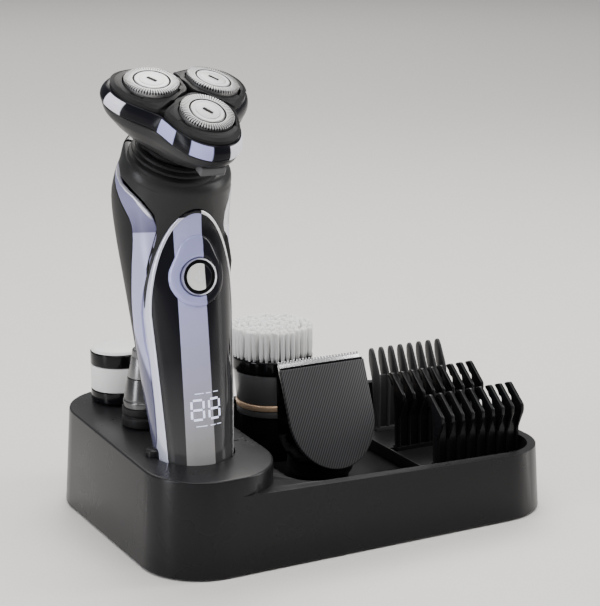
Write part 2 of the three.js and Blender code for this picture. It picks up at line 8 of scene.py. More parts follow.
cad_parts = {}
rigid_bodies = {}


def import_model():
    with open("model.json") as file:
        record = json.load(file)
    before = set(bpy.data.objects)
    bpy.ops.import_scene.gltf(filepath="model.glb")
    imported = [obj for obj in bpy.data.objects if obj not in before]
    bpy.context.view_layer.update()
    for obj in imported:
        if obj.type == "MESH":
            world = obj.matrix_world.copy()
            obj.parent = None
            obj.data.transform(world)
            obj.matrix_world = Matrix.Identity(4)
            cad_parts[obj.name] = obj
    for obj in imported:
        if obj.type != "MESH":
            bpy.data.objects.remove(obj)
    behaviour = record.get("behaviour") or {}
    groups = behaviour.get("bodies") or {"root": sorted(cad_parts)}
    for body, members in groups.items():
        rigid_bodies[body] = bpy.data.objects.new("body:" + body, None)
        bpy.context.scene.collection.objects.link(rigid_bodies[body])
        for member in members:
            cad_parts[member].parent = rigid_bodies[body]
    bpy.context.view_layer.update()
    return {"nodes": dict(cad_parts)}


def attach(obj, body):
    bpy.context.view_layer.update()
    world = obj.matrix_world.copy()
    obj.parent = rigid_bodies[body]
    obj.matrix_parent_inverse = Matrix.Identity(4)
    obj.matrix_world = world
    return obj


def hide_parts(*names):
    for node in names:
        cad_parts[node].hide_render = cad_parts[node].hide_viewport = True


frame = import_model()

random.seed(7)
print("frame loaded:", len(frame["nodes"]), "CAD nodes")

# The leaning parts are modelled in millimetres in their own upright frames, and settled into place at the end.
millimetres = Matrix.Scale(0.001, 4)


def turnedFrame(place, tilt=(0, 0, 0)):
    turn = Matrix.Identity(4)
    for angle, axis in zip(tilt, "XYZ"):
        turn = turn @ Matrix.Rotation(math.radians(angle), 4, axis)
    return Matrix.Translation(Vector(place) * 0.001) @ turn @ millimetres


places = {
    "handle": ((-55.74, -23.5, 38), (-8, 0, 0)),
    "head": ((-55.74, -26.9, 166.85), (25.2, 3.4, 1.5)),
    "trimmer": ((-59.34, 10, 38.3), (0, 0, 0)),
    "detailHead": ((-56.94, 41, 39.4), (0, 0, 0)),
    "brush": ((1.06, 24, 31), (0, 0, 0)),
    "clipper": ((3.26, -29, 21.5), (-23, 0, 0)),
    "clipperFoot": ((3.26, -11.5, 16), (0, 0, 0)),
}
standFrame = millimetres
handleFrame, headFrame, trimmerFrame, detailFrame, brushFrame, clipperFrame, clipperFootFrame = [
    turnedFrame(*place) for place in places.values()]

# ---- small modelling helpers


def clearSelection():
    if bpy.context.object and bpy.context.object.mode != "OBJECT":
        bpy.ops.object.mode_set(mode="OBJECT")
    for other in list(bpy.context.view_layer.objects.selected):
        other.select_set(False)


def pick(piece):
    clearSelection()
    piece.select_set(True)
    bpy.context.view_layer.objects.active = piece


def editAll(piece):
    pick(piece)
    bpy.ops.object.mode_set(mode="EDIT")
    bpy.ops.mesh.select_all(action="SELECT")


def leaveEdit():
    bpy.ops.object.mode_set(mode="OBJECT")


def weld(piece, distance=0.002):
    editAll(piece)
    bpy.ops.mesh.remove_doubles(threshold=distance)
    bpy.ops.mesh.normals_make_consistent(inside=False)
    leaveEdit()


def selectEdges(piece, wanted):
    # leaves the piece in edit mode with only the wanted edges selected
    editAll(piece)
    bpy.ops.mesh.select_all(action="DESELECT")
    bpy.ops.mesh.select_mode(type="EDGE")
    leaveEdit()
    points = piece.data.vertices
    for edge in piece.data.edges:
        edge.select = wanted(points[edge.vertices[0]].co, points[edge.vertices[1]].co)
    bpy.ops.object.mode_set(mode="EDIT")


def applied(piece, kind, **settings):
    pick(piece)
    modifier = piece.modifiers.new(kind.title(), kind)
    for name, value in settings.items():
        setattr(modifier, name, value)
    bpy.ops.object.modifier_apply(modifier=modifier.name)
    return piece


def carved(piece, tool, operation="DIFFERENCE"):
    applied(piece, "BOOLEAN", object=tool, operation=operation, solver="EXACT")
    bpy.data.objects.remove(tool)
    return piece


def softEdges(piece, width, segments=2, angle=35):
    return applied(piece, "BEVEL", width=width, segments=segments, limit_method="ANGLE",
                   angle_limit=math.radians(angle), use_clamp_overlap=True, harden_normals=False)


def joined(name, pieces):
    clearSelection()
    for piece in pieces:
        piece.select_set(True)
    bpy.context.view_layer.objects.active = pieces[0]
    if len(pieces) > 1:
        bpy.ops.object.join()
    pieces[0].name = name
    return pieces[0]


def twin(piece, place=Matrix.Identity(4)):
    # a copy with its own mesh
    copy = piece.copy()
    copy.data = piece.data.copy()
    copy.data.transform(place)
    bpy.context.scene.collection.objects.link(copy)
    return copy


def block(low, high):
    clearSelection()
    middle = [(a + b) / 2 for a, b in zip(low, high)]
    bpy.ops.mesh.primitive_cube_add(size=1, location=middle, scale=[b - a for a, b in zip(low, high)])
    bpy.ops.object.transform_apply(location=True, rotation=True, scale=True)
    return bpy.context.object


def disc(x, y, low, high, radius, sides=64, topRadius=None):
    clearSelection()
    bpy.ops.mesh.primitive_cone_add(vertices=sides, radius1=radius, radius2=topRadius or radius,
                                    depth=high - low, location=(x, y, (low + high) / 2))
    bpy.ops.object.transform_apply(location=True, rotation=True, scale=True)
    return bpy.context.object


def rounded(points, radius, steps=3, closed=False):
    # a line whose corners are softened
    count = len(points)
    made = []
    for i, point in enumerate(points):
        if not closed and i in (0, count - 1):
            made.append(tuple(point))
            continue
        here, before, after = Vector(point), Vector(points[i - 1]), Vector(points[(i + 1) % count])
        reachBefore = min(radius, (before - here).length * 0.45)
        reachAfter = min(radius, (after - here).length * 0.45)
        start = here + (before - here).normalized() * reachBefore
        end = here + (after - here).normalized() * reachAfter
        for k in range(steps + 1):
            t = k / steps
            made.append(tuple(start * (1 - t) ** 2 + here * 2 * t * (1 - t) + end * t * t))
    return made


def lathe(name, profile, sides=64, softness=0.3, closed=True):
    # profile of (radius, height), spun round the upright axis
    points = rounded(profile, softness, 3, closed)
    mesh = bpy.data.meshes.new(name)
    links = [(i, i + 1) for i in range(len(points) - 1)]
    if closed:
        links.append((len(points) - 1, 0))
    mesh.from_pydata([(max(r, 0), 0, z) for r, z in points], links, [])
    piece = bpy.data.objects.new(name, mesh)
    bpy.context.scene.collection.objects.link(piece)
    editAll(piece)
    bpy.ops.mesh.spin(steps=sides, angle=2 * math.pi, center=(0, 0, 0), axis=(0, 0, 1))
    leaveEdit()
    weld(piece)
    return piece


def slab(name, outline, thickness, softness=0.2, segments=2):
    # a flat outline of (x, y) points, extruded upward from zero
    mesh = bpy.data.meshes.new(name)
    mesh.from_pydata([(x, y, 0) for x, y in outline], [], [list(range(len(outline)))])
    piece = bpy.data.objects.new(name, mesh)
    bpy.context.scene.collection.objects.link(piece)
    editAll(piece)
    bpy.ops.mesh.extrude_region_move(TRANSFORM_OT_translate={"value": (0, 0, thickness)})
    bpy.ops.mesh.select_all(action="SELECT")
    bpy.ops.mesh.normals_make_consistent(inside=False)
    leaveEdit()
    if softness:
        softEdges(piece, softness, segments, 50)
    return piece


def shapedGrid(name, across, along, place, closedAcross=False, closedAlong=False):
    # a grid primitive whose corners are moved onto the surface that place(i, j) gives
    clearSelection()
    bpy.ops.mesh.primitive_grid_add(x_subdivisions=across, y_subdivisions=along, size=1)
    piece = bpy.context.object
    piece.name = name
    for vertex in piece.data.vertices:
        i = round((vertex.co.x + 0.5) * across)
        j = round((vertex.co.y + 0.5) * along)
        vertex.co = place(i % across if closedAcross else i, j % along if closedAlong else j)
    if closedAcross or closedAlong:
        weld(piece)
    return piece


def facingAway(piece, centre):
    # turns an open sheet's faces away from a point or an upright line
    total = 0
    for face in piece.data.polygons:
        away = face.center - Vector(centre(face.center))
        total += face.normal.dot(away) * face.area
    if total < 0:
        editAll(piece)
        bpy.ops.mesh.flip_normals()
        leaveEdit()
    return piece


def walled(piece, thickness, softness=0.25, segments=2):
    applied(piece, "SOLIDIFY", thickness=thickness, offset=-1, use_even_offset=False)
    editAll(piece)
    bpy.ops.mesh.normals_make_consistent(inside=False)
    leaveEdit()
    if softness:
        softEdges(piece, softness, segments, 50)
    return piece


def settled(piece, name, place, body, nodes, material, slot=None, smooth=32):
    piece.name = name
    piece.data.name = name
    piece.data.transform(place)
    piece.data.update()
    pick(piece)
    bpy.ops.object.shade_smooth_by_angle(angle=math.radians(smooth))
    piece.data.materials.clear()
    piece.data.materials.append(material)
    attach(piece, body)
    if nodes:
        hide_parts(*nodes)
    return piece


def turned(name, profile, sides, softness, *ride):
    # a lathed piece, settled at once
    return settled(lathe(name, profile, sides, softness), name, *ride)


def smoothThrough(points):
    # a smooth curve through (t, value) points
    points = sorted(points)
    last = len(points) - 1

    def slope(i):
        a, b = points[max(i - 1, 0)], points[min(i + 1, last)]
        return (b[1] - a[1]) / (b[0] - a[0])

    def at(t):
        t = min(max(t, points[0][0]), points[last][0])
        i = 0
        while i < last - 1 and t > points[i + 1][0]:
            i += 1
        (t0, a), (t1, b) = points[i], points[i + 1]
        h = t1 - t0
        s = (t - t0) / h
        return (a * (2 * s ** 3 - 3 * s ** 2 + 1) + slope(i) * h * (s ** 3 - 2 * s ** 2 + s)
                + b * (3 * s ** 2 - 2 * s ** 3) + slope(i + 1) * h * (s ** 3 - s ** 2))

    return at


# ---- camera, light and floor

camera = {"place": (-0.30904, -0.5778, 0.2428), "target": (0.00183, 0.002, 0.07885), "lens": 105.7}
bpy.ops.object.camera_add(location=camera["place"])
eye = bpy.context.object
eye.name = "view"
eye.rotation_euler = (Vector(camera["target"]) - Vector(camera["place"])).to_track_quat("-Z", "Y").to_euler()
eye.data.lens = camera["lens"]
eye.data.sensor_width = 36
eye.data.clip_start = 0.01
bpy.context.scene.camera = eye

lamps = {
    "highSoftbox": {"place": (-0.1, -0.3, 1.0), "target": (0, 0, 0.05), "size": (0.9, 0.7), "power": 9,
    "tint": (1, 0.985, 0.96)},
    "farSoftbox": {"place": (0.32, 0.4, 0.85), "target": (-0.03, 0, 0.14), "size": (0.55, 0.5), "power": 6,
    "tint": (1, 0.98, 0.95)},
    "leftStrip": {"place": (-0.95, -0.1, 0.4), "target": (-0.05, 0, 0.1), "size": (0.2, 0.8), "power": 6,
    "tint": (0.96, 0.97, 1)},
    "rightStrip": {"place": (0.85, -0.3, 0.45), "target": (0, 0, 0.09), "size": (0.22, 0.8), "power": 6,
    "tint": (1, 0.99, 0.97)},
    "backdropLight": {"place": (0.3, 1.5, 1.6), "target": (0.3, 1.5, 0), "size": (1.8, 1.2), "power": 30,
    "tint": (1, 0.97, 0.93)},
}
for name, lamp in lamps.items():
    bpy.ops.object.light_add(type="AREA", location=lamp["place"])
    light = bpy.context.object
    light.name = name
    light.data.shape = "RECTANGLE"
    light.data.size, light.data.size_y = lamp["size"]
    light.data.energy = lamp["power"]
    light.data.color = lamp["tint"]
    light.rotation_euler = (Vector(lamp["target"]) - Vector(lamp["place"])).to_track_quat("-Z", "Y").to_euler()

bpy.ops.mesh.primitive_plane_add(size=12, location=(0, 0, 0))
floor = bpy.context.object
floor.name = "floor"
print("camera, lamps and floor are set")

# ---- materials


def feed(tree, socket, value):
    # links a socket to another one, or gives it a plain value
    if isinstance(value, bpy.types.NodeSocket):
        tree.links.new(value, socket)
    else:
        socket.default_value = value


def put(tree, kind, inputs=None, **settings):
    made = tree.nodes.new(kind)
    for name, value in settings.items():
        setattr(made, name, value)
    for name, value in (inputs or {}).items():
        feed(tree, made.inputs[name], value)
    return made


def nodeGroup(name, inputs, outputs):
    group = bpy.data.node_groups.new(name, "ShaderNodeTree")
    for label, kind, value in inputs:
        socket = group.interface.new_socket(label, in_out="INPUT", socket_type=kind)
        if value is not None:
            socket.default_value = value
    for label, kind in outputs:
        group.interface.new_socket(label, in_out="OUTPUT", socket_type=kind)
    return group, group.nodes.new("NodeGroupInput"), group.nodes.new("NodeGroupOutput")


def maths(tree, operation, first, second=0.0, third=0.0, clamp=False):
    made = tree.nodes.new("ShaderNodeMath")
    made.operation = operation
    made.use_clamp = clamp
    for socket, value in zip(made.inputs, (first, second, third)):
        feed(tree, socket, value)
    return made.outputs[0]


# moulded grain: a fine pebble height and a slow roughness drift
grain, grainIn, grainOut = nodeGroup(
    "mouldedGrain",
    [("Vector", "NodeSocketVector", None), ("Grain size", "NodeSocketFloat", 2600.0),
    ("Drift size", "NodeSocketFloat", 38.0)],
    [("Height", "NodeSocketFloat"), ("Drift", "NodeSocketFloat")])
pebble = put(grain, "ShaderNodeTexNoise", {"Vector": grainIn.outputs["Vector"],
    "Scale": grainIn.outputs["Grain size"], "Detail": 2.0, "Roughness": 0.6})
drift = put(grain, "ShaderNodeTexNoise", {"Vector": grainIn.outputs["Vector"],
    "Scale": grainIn.outputs["Drift size"], "Detail": 3.0, "Roughness": 0.55})
grain.links.new(pebble.outputs[0], grainOut.inputs["Height"])
grain.links.new(drift.outputs[0], grainOut.inputs["Drift"])

# settled dust: a faint veil on what faces up
dust, dustIn, dustOut = nodeGroup(
    "settledDust",
    [("Vector", "NodeSocketVector", None), ("Amount", "NodeSocketFloat", 0.1),
    ("Speck size", "NodeSocketFloat", 900.0)],
    [("Mask", "NodeSocketFloat")])
facing = put(dust, "ShaderNodeSeparateXYZ", {"Vector": put(dust, "ShaderNodeNewGeometry").outputs["Normal"]})
specks = put(dust, "ShaderNodeTexNoise", {"Vector": dustIn.outputs["Vector"], "Scale": dustIn.outputs["Speck size"],
    "Detail": 4.0, "Roughness": 0.7})
cloud = put(dust, "ShaderNodeTexNoise", {"Vector": dustIn.outputs["Vector"], "Scale": 60.0, "Detail": 2.0})
upward = maths(dust, "MAXIMUM", facing.outputs["Z"], 0.0)
speckle = maths(dust, "MULTIPLY_ADD", specks.outputs[0], 2.2, -0.75, clamp=True)
veil = maths(dust, "MULTIPLY", maths(dust, "MULTIPLY", upward, speckle), cloud.outputs[0])
dust.links.new(maths(dust, "MULTIPLY", veil, dustIn.outputs["Amount"], clamp=True), dustOut.inputs["Mask"])

# brushed metal: long fine lines along one direction
brushed, brushedIn, brushedOut = nodeGroup(
    "brushedLines",
    [("Vector", "NodeSocketVector", None), ("Stretch", "NodeSocketVector", (1.0, 1.0, 1.0)),
    ("Line size", "NodeSocketFloat", 400.0)],
    [("Height", "NodeSocketFloat")])
stretched = put(brushed, "ShaderNodeVectorMath", {0: brushedIn.outputs["Vector"], 1: brushedIn.outputs["Stretch"]},
    operation="MULTIPLY")
lines = put(brushed, "ShaderNodeTexNoise", {"Vector": stretched.outputs[0], "Scale": brushedIn.outputs["Line size"],
    "Detail": 3.0, "Roughness": 0.6})
brushed.links.new(lines.outputs[0], brushedOut.inputs["Height"])

# a soft band between two values
band, bandIn, bandOut = nodeGroup(
    "bandBetween",
    [("Value", "NodeSocketFloat", 0.0), ("Low", "NodeSocketFloat", 0.0), ("High", "NodeSocketFloat", 1.0),
    ("Blur", "NodeSocketFloat", 0.0002)],
    [("Mask", "NodeSocketFloat")])
rise = maths(band, "DIVIDE", maths(band, "SUBTRACT", bandIn.outputs["Value"], bandIn.outputs["Low"]),
    bandIn.outputs["Blur"], clamp=True)
fall = maths(band, "DIVIDE", maths(band, "SUBTRACT", bandIn.outputs["High"], bandIn.outputs["Value"]),
    bandIn.outputs["Blur"], clamp=True)
band.links.new(maths(band, "MULTIPLY", rise, fall), bandOut.inputs["Mask"])


def placedGroup(tree, group, inputs):
    return put(tree, "ShaderNodeGroup", inputs, node_tree=group)


def blendColours(tree, factor, first, second):
    made = put(tree, "ShaderNodeMix", data_type="RGBA")
    for index, value in ((0, factor), (6, first), (7, second)):
        feed(tree, made.inputs[index], value)
    return made.outputs[2]


def shade(colour, amount=1.0):
    return (colour[0] * amount, colour[1] * amount, colour[2] * amount, 1.0)


def finishOf(name, colour, roughness, metallic=0.0, tone=0.12, spread=0.06, grainSize=2600.0, relief=0.05,
             dustAmount=0.0, coat=0.0, coatRoughness=0.08, specular=0.2, sheen=0.0, colourFrom=None,
             stretch=None, place=None, emission=None):
    # One finish: two close tones, drifting roughness, a fine relief and a veil of dust, set by its own values.
    material = bpy.data.materials.new(name)
    material.use_nodes = True
    tree = material.node_tree
    shader = tree.nodes["Principled BSDF"]
    where = put(tree, "ShaderNodeTexCoord").outputs["Object"]
    if place:
        mapping = put(tree, "ShaderNodeMapping", {"Vector": where, "Location": place[0], "Rotation": place[1]})
        where = mapping.outputs[0]
    moulded = placedGroup(tree, grain, {"Vector": where, "Grain size": grainSize})
    base = colourFrom(tree, where) if colourFrom else shade(colour)
    if colourFrom:
        tinted = put(tree, "ShaderNodeHueSaturation",
            {"Color": base, "Value": maths(tree, "MULTIPLY_ADD", moulded.outputs["Drift"], tone, 1 - tone / 2)})
        base = tinted.outputs[0]
    else:
        base = blendColours(tree, moulded.outputs["Drift"], shade(colour, 1 - tone), shade(colour, 1 + tone))
    rough = maths(tree, "MULTIPLY_ADD", moulded.outputs["Drift"], 2 * spread, roughness - spread)
    if dustAmount:
        settling = placedGroup(tree, dust, {"Vector": where, "Amount": dustAmount})
        base = blendColours(tree, settling.outputs[0], base, (0.42, 0.41, 0.4, 1))
        rough = maths(tree, "ADD", rough, settling.outputs[0], clamp=True)
    tree.links.new(base, shader.inputs["Base Color"])
    tree.links.new(rough, shader.inputs["Roughness"])
    shader.inputs["Metallic"].default_value = metallic
    shader.inputs["Specular IOR Level"].default_value = specular
    shader.inputs["Coat Weight"].default_value = coat
    shader.inputs["Coat Roughness"].default_value = coatRoughness
    shader.inputs["Sheen Weight"].default_value = sheen
    if emission:
        shader.inputs["Emission Color"].default_value = shade(emission[0])
        shader.inputs["Emission Strength"].default_value = emission[1]
    height = moulded.outputs["Height"]
    if stretch:
        height = placedGroup(tree, brushed, {"Vector": where, "Stretch": stretch[0],
            "Line size": stretch[1]}).outputs[0]
    bump = put(tree, "ShaderNodeBump", {"Height": height, "Strength": relief, "Distance": 0.0002})
    tree.links.new(bump.outputs[0], shader.inputs["Normal"])
    return material


def localPlace(place):
    # what a Mapping node needs to measure from a leaning part's own origin
    origin, tilt = place
    back = turnedFrame((0, 0, 0), tilt).to_3x3().normalized().inverted()
    return back @ Vector([-x * 0.001 for x in origin]), [math.radians(-x) for x in tilt]


handleMapping = localPlace(places["handle"])
headMapping = localPlace(places["head"])
clipperMapping = localPlace(places["clipper"])

lilac = (0.42, 0.43, 0.76)
paleLilac = (0.74, 0.75, 0.93)
nearBlack = (0.006, 0.006, 0.009)


def axisValue(tree, where, axis):
    return put(tree, "ShaderNodeSeparateXYZ", {"Vector": where}).outputs[axis]


def bandMask(tree, value, low, high, blur=0.00015):
    return placedGroup(tree, band, {"Value": value, "Low": low, "High": high, "Blur": blur}).outputs[0]


def panelColours(tree, where):
    # black glass with one broad lilac strip left of the middle, a painted reflection that turns grey towards the
    # bottom; the glass itself is painted lighter towards the bottom, painted light
    across = axisValue(tree, where, "X")
    up = axisValue(tree, where, "Z")
    # the lilac strip is a painted reflection
    paintedReflectionStrip = bandMask(tree, across, panelPaintedReflection["paintedReflectionStrip"][0], panelPaintedReflection["paintedReflectionStrip"][1])
    reflectionToneByHeight = maths(tree, "MULTIPLY_ADD", up, -18.0, 1.05, clamp=True)
    paintedReflectionTone = blendColours(tree, reflectionToneByHeight, shade(panelPaintedReflection["upper"]), shade(panelPaintedReflection["lower"]))
    # painted light: the black glass is painted lighter towards the bottom
    glass = blendColours(tree, maths(tree, "MULTIPLY_ADD", up, -30.0, 1.0, clamp=True), shade(nearBlack),
        (0.05, 0.05, 0.052, 1))
    return blendColours(tree, paintedReflectionStrip, glass, paintedReflectionTone)


def bezelColours(tree, where):
    # bright plating on the flanks, pale lilac with a painted white highlight towards the right, and one painted
    # dark reflection over the top of the arch
    across = axisValue(tree, where, "X")
    up = axisValue(tree, where, "Z")
    # painted dark reflection over the crown of the arch
    crown = bandMask(tree, up, 0.0835, 0.2)
    dark = maths(tree, "MULTIPLY", crown, bandMask(tree, across, -0.0072, 0.0022))
    # painted white highlight towards the right
    paintedRightHighlight = maths(tree, "MULTIPLY_ADD", across, 260.0, 0.4, clamp=True)
    plate = blendColours(tree, paintedRightHighlight, shade(paleLilac), (0.93, 0.93, 0.95, 1))
    return blendColours(tree, dark, plate, shade(nearBlack))


def trimColours(tree, where):
    # painted light on the lilac trim: painted shade above the facet break across the side, a long dark flank of
    # painted shade below it, a bright painted highlight beside the upper seam, a painted glint at the front and
    # painted shade over the shoulder
    across = axisValue(tree, where, "X")
    up = axisValue(tree, where, "Z")
    front = axisValue(tree, where, "Y")
    # painted shade above the facet break, darkest just over it
    upper = bandMask(tree, up, trimTonesAndPaintedLight["break"], 0.2, 0.0004)
    rise = maths(tree, "MULTIPLY_ADD", up, 110.0, -8.7, clamp=True)
    paintedShadeUpperTone = blendColours(tree, rise, shade(trimTonesAndPaintedLight["aboveBreak"]), shade(trimTonesAndPaintedLight["upper"]))
    # painted shade on the lower flank, behind a slanting line
    behindLine = maths(tree, "ADD", front, maths(tree, "MULTIPLY_ADD", up, *trimTonesAndPaintedLight["flankLine"]))
    paintedShadeFlank = maths(tree, "MULTIPLY", behindLine, 650.0, clamp=True)
    lowerTone = blendColours(tree, paintedShadeFlank, shade(trimTonesAndPaintedLight["light"]), shade(trimTonesAndPaintedLight["paintedShadeFlank"]))
    tone = blendColours(tree, upper, lowerTone, paintedShadeUpperTone)
    # a painted highlight along the upper seam
    steep = maths(tree, "MULTIPLY_ADD", up, *trimTonesAndPaintedLight["steepSeam"])
    gentle = maths(tree, "MULTIPLY_ADD", up, *trimTonesAndPaintedLight["gentleSeam"])
    fromSeam = maths(tree, "SUBTRACT", front, maths(tree, "MAXIMUM", steep, gentle))
    edge = maths(tree, "MULTIPLY", bandMask(tree, fromSeam, -0.002, 0.0007),
        bandMask(tree, up, 0.0835, 0.104, 0.002))
    tone = blendColours(tree, edge, tone, shade(trimTonesAndPaintedLight["edge"]))
    # a painted glint at the front of the right side
    glint = maths(tree, "MULTIPLY", bandMask(tree, across, 0.009, 0.03, 0.001),
        bandMask(tree, front, -0.03, -0.0075, 0.003))
    tone = blendColours(tree, maths(tree, "MULTIPLY", glint, 0.8), tone, (0.9, 0.9, 0.93, 1))
    # painted shade over the shoulder
    shoulder = bandMask(tree, up, trimTonesAndPaintedLight["shoulder"], 0.2, 0.0004)
    return blendColours(tree, shoulder, tone, (0.012, 0.012, 0.013, 1))


def headBandColours(tree, where):
    # alternating lilac, white and black facets round the head: the white facets are painted highlights and the
    # black ones painted dark reflections
    across = axisValue(tree, where, "X")
    depth = axisValue(tree, where, "Y")
    angle = maths(tree, "MULTIPLY", maths(tree, "ARCTAN2", depth, across), 180 / math.pi)

    def facets(key):
        mask = 0.0
        for low, high in headBandFacetsAndPaintedReflections[key]:
            facet = bandMask(tree, angle, float(low), float(high), 0.8)
            mask = facet if mask == 0.0 else maths(tree, "MAXIMUM", mask, facet)
        return mask

    # black between the lilac facets: painted dark reflection
    tinted = blendColours(tree, facets("lilac"), shade(nearBlack), shade(lilac, 1.05))
    # white facets: painted highlights
    tinted = blendColours(tree, facets("white"), tinted, (0.82, 0.82, 0.93, 1))
    return blendColours(tree, bandMask(tree, axisValue(tree, where, "Z"), -0.0052, 0.05), tinted, shade(nearBlack))


def buttonColours(tree, where):
    # lilac on the left of the ring, black on the right of it, a painted dark reflection
    across = axisValue(tree, where, "X")
    left = bandMask(tree, across, -0.03, buttonPaintedReflectionSplit["split"])
    return blendColours(tree, left, shade(nearBlack, 1.5), shade(lilac, 0.95))


def ringColours(tree, where):
    # the bright ring, painted with reflections: muted on the left, white on the right
    across = axisValue(tree, where, "X")
    right = maths(tree, "MULTIPLY_ADD", across, 300.0, 0.2, clamp=True)
    return blendColours(tree, right, (0.3, 0.3, 0.44, 1), (0.85, 0.85, 0.92, 1))


def dialColours(tree, where):
    # pale on the left, black on the right of it, a painted dark reflection
    across = axisValue(tree, where, "X")
    left = bandMask(tree, across, -0.03, buttonPaintedReflectionSplit["split"])
    return blendColours(tree, left, shade(nearBlack), (0.86, 0.86, 0.85, 1))


def coverColours(tree, where):
    # very fine slanting lines pressed into the cover
    across = axisValue(tree, where, "X")
    up = axisValue(tree, where, "Z")
    slant = maths(tree, "MULTIPLY_ADD", across, -1.75, up)
    wave = maths(tree, "SINE", maths(tree, "MULTIPLY", slant, coverFinish["linesPerMetre"]))
    lines = maths(tree, "MULTIPLY_ADD", wave, 0.5, 0.5, clamp=True)
    return blendColours(tree, lines, shade(coverFinish["low"]), shade(coverFinish["high"]))


def standColours(tree, where):
    # one dark charcoal, painted a little lighter towards the far left top, painted light
    across = axisValue(tree, where, "X")
    up = axisValue(tree, where, "Z")
    left = maths(tree, "MULTIPLY_ADD", across, -7.0, 0.15, clamp=True)
    high = maths(tree, "MULTIPLY_ADD", up, 24.0, -0.1, clamp=True)
    return blendColours(tree, maths(tree, "MULTIPLY", left, high), shade(standToneAndPaintedLight["dark"]),
        shade(standToneAndPaintedLight["light"]))


# the panel's painted reflection: where the strip runs across, and its tones high and low
panelPaintedReflection = {"paintedReflectionStrip": (-0.008, 0.0022), "upper": (0.43, 0.435, 0.74), "lower": (0.34, 0.335, 0.34)}
# the trim's own lilac, its painted shade and painted highlight tones, and the heights and lines where they fall
trimTonesAndPaintedLight = {"light": (0.45, 0.455, 0.71), "paintedShadeFlank": (0.1, 0.1, 0.175), "upper": (0.21, 0.21, 0.37),
    "aboveBreak": (0.11, 0.11, 0.2), "edge": (0.78, 0.78, 0.9),
              "break": 0.079, "shoulder": 0.1035, "flankLine": (-0.44, 0.01706), "steepSeam": (1.185, -0.1169),
              "gentleSeam": (0.49, -0.0534)}
# angles of the lilac facets and of the painted white highlights; between them the band is painted dark reflection
headBandFacetsAndPaintedReflections = {"lilac": [(-146, -125), (-112, -96), (70, 104), (122, 138)],
    "white": [(163, 179), (-84, -40), (12, 38)]}
# where the painted dark reflection starts on the button surround and the dial
buttonPaintedReflectionSplit = {"split": 0.0021}
coverFinish = {"linesPerMetre": 2 * math.pi / 0.0019, "low": (0.022, 0.022, 0.024), "high": (0.075, 0.075, 0.079)}
# the stand's own dark charcoal and the lighter tone of its painted light
standToneAndPaintedLight = {"dark": (0.005, 0.005, 0.006), "light": (0.018, 0.018, 0.02)}

standPlastic = finishOf("standPlastic", (0.012, 0.012, 0.013), 0.28, relief=0.05, grainSize=3200.0, dustAmount=0.05,
    colourFrom=standColours)
trayPlastic = finishOf("trayPlastic", (0.006, 0.006, 0.007), 0.45, relief=0.1, grainSize=2400.0, dustAmount=0.03)
softRubber = finishOf("softRubber", (0.007, 0.007, 0.008), 0.5, relief=0.14, grainSize=4200.0, sheen=0.04)
gripShell = finishOf("gripShell", (0.024, 0.024, 0.025), 0.34, relief=0.06, grainSize=3600.0)
headShell = finishOf("headShell", (0.024, 0.024, 0.025), 0.36, relief=0.06, grainSize=3600.0)
lilacTrim = finishOf("lilacTrim", lilac, 0.2, metallic=0.15, relief=0.01, coat=0.3, colourFrom=trimColours,
    place=handleMapping)
bezelChrome = finishOf("bezelChrome", paleLilac, 0.14, metallic=0.3, coat=0.4, tone=0.05, spread=0.03, relief=0.01,
    colourFrom=bezelColours, place=handleMapping)
panelGlass = finishOf("panelGlass", nearBlack, 0.08, metallic=0.0, tone=0.08, spread=0.02, relief=0.004,
    grainSize=700.0, specular=0.22, colourFrom=panelColours, place=handleMapping)
headBandGloss = finishOf("headBandGloss", lilac, 0.24, metallic=0.0, tone=0.06, spread=0.02, relief=0.006,
    specular=0.12, colourFrom=headBandColours, place=headMapping)
buttonPlating = finishOf("buttonPlating", lilac, 0.16, metallic=0.15, tone=0.06, spread=0.03, relief=0.01,
    colourFrom=buttonColours, place=handleMapping)
dialChrome = finishOf("dialChrome", paleLilac, 0.2, metallic=0.1, tone=0.05, spread=0.04, relief=0.02,
    colourFrom=dialColours, place=handleMapping)
ringChrome = finishOf("ringChrome", paleLilac, 0.14, metallic=0.4, tone=0.05, spread=0.03, relief=0.01,
    colourFrom=ringColours, place=handleMapping)
pianoBlack = finishOf("pianoBlack", (0.004, 0.004, 0.005), 0.12, tone=0.2, spread=0.04, relief=0.008)
plateBlack = finishOf("plateBlack", (0.016, 0.016, 0.017), 0.48, relief=0.05, grainSize=3600.0, specular=0.12)
slotBlack = finishOf("slotBlack", (0.004, 0.004, 0.004), 0.6, tone=0.2, spread=0.1, relief=0.05, specular=0.1)
tabGrey = finishOf("tabGrey", (0.075, 0.075, 0.08), 0.3, relief=0.04, coat=0.2)
foilSteel = finishOf("foilSteel", (0.34, 0.34, 0.345), 0.36, metallic=0.8, tone=0.1, spread=0.08, relief=0.05,
    stretch=((1, 1, 1), 1600.0))
bladeSteel = finishOf("bladeSteel", (0.82, 0.82, 0.83), 0.26, metallic=0.85, tone=0.05, spread=0.06, relief=0.08,
    stretch=((1, 9, 14), 900.0))
gunmetal = finishOf("gunmetal", (0.11, 0.11, 0.113), 0.26, metallic=0.85, tone=0.08, spread=0.05, relief=0.05,
    stretch=((1, 1, 26), 420.0))
footMetal = finishOf("footMetal", (0.2, 0.2, 0.205), 0.3, metallic=0.7, tone=0.08, spread=0.05, relief=0.05,
    stretch=((1, 1, 26), 420.0))
paleMetal = finishOf("paleMetal", (0.2, 0.2, 0.205), 0.28, metallic=0.85, tone=0.08, spread=0.05, relief=0.05,
    stretch=((1, 1, 26), 420.0))
goldRing = finishOf("goldRing", (0.8, 0.56, 0.38), 0.28, metallic=0.6, relief=0.02, stretch=((1, 1, 30), 500.0))
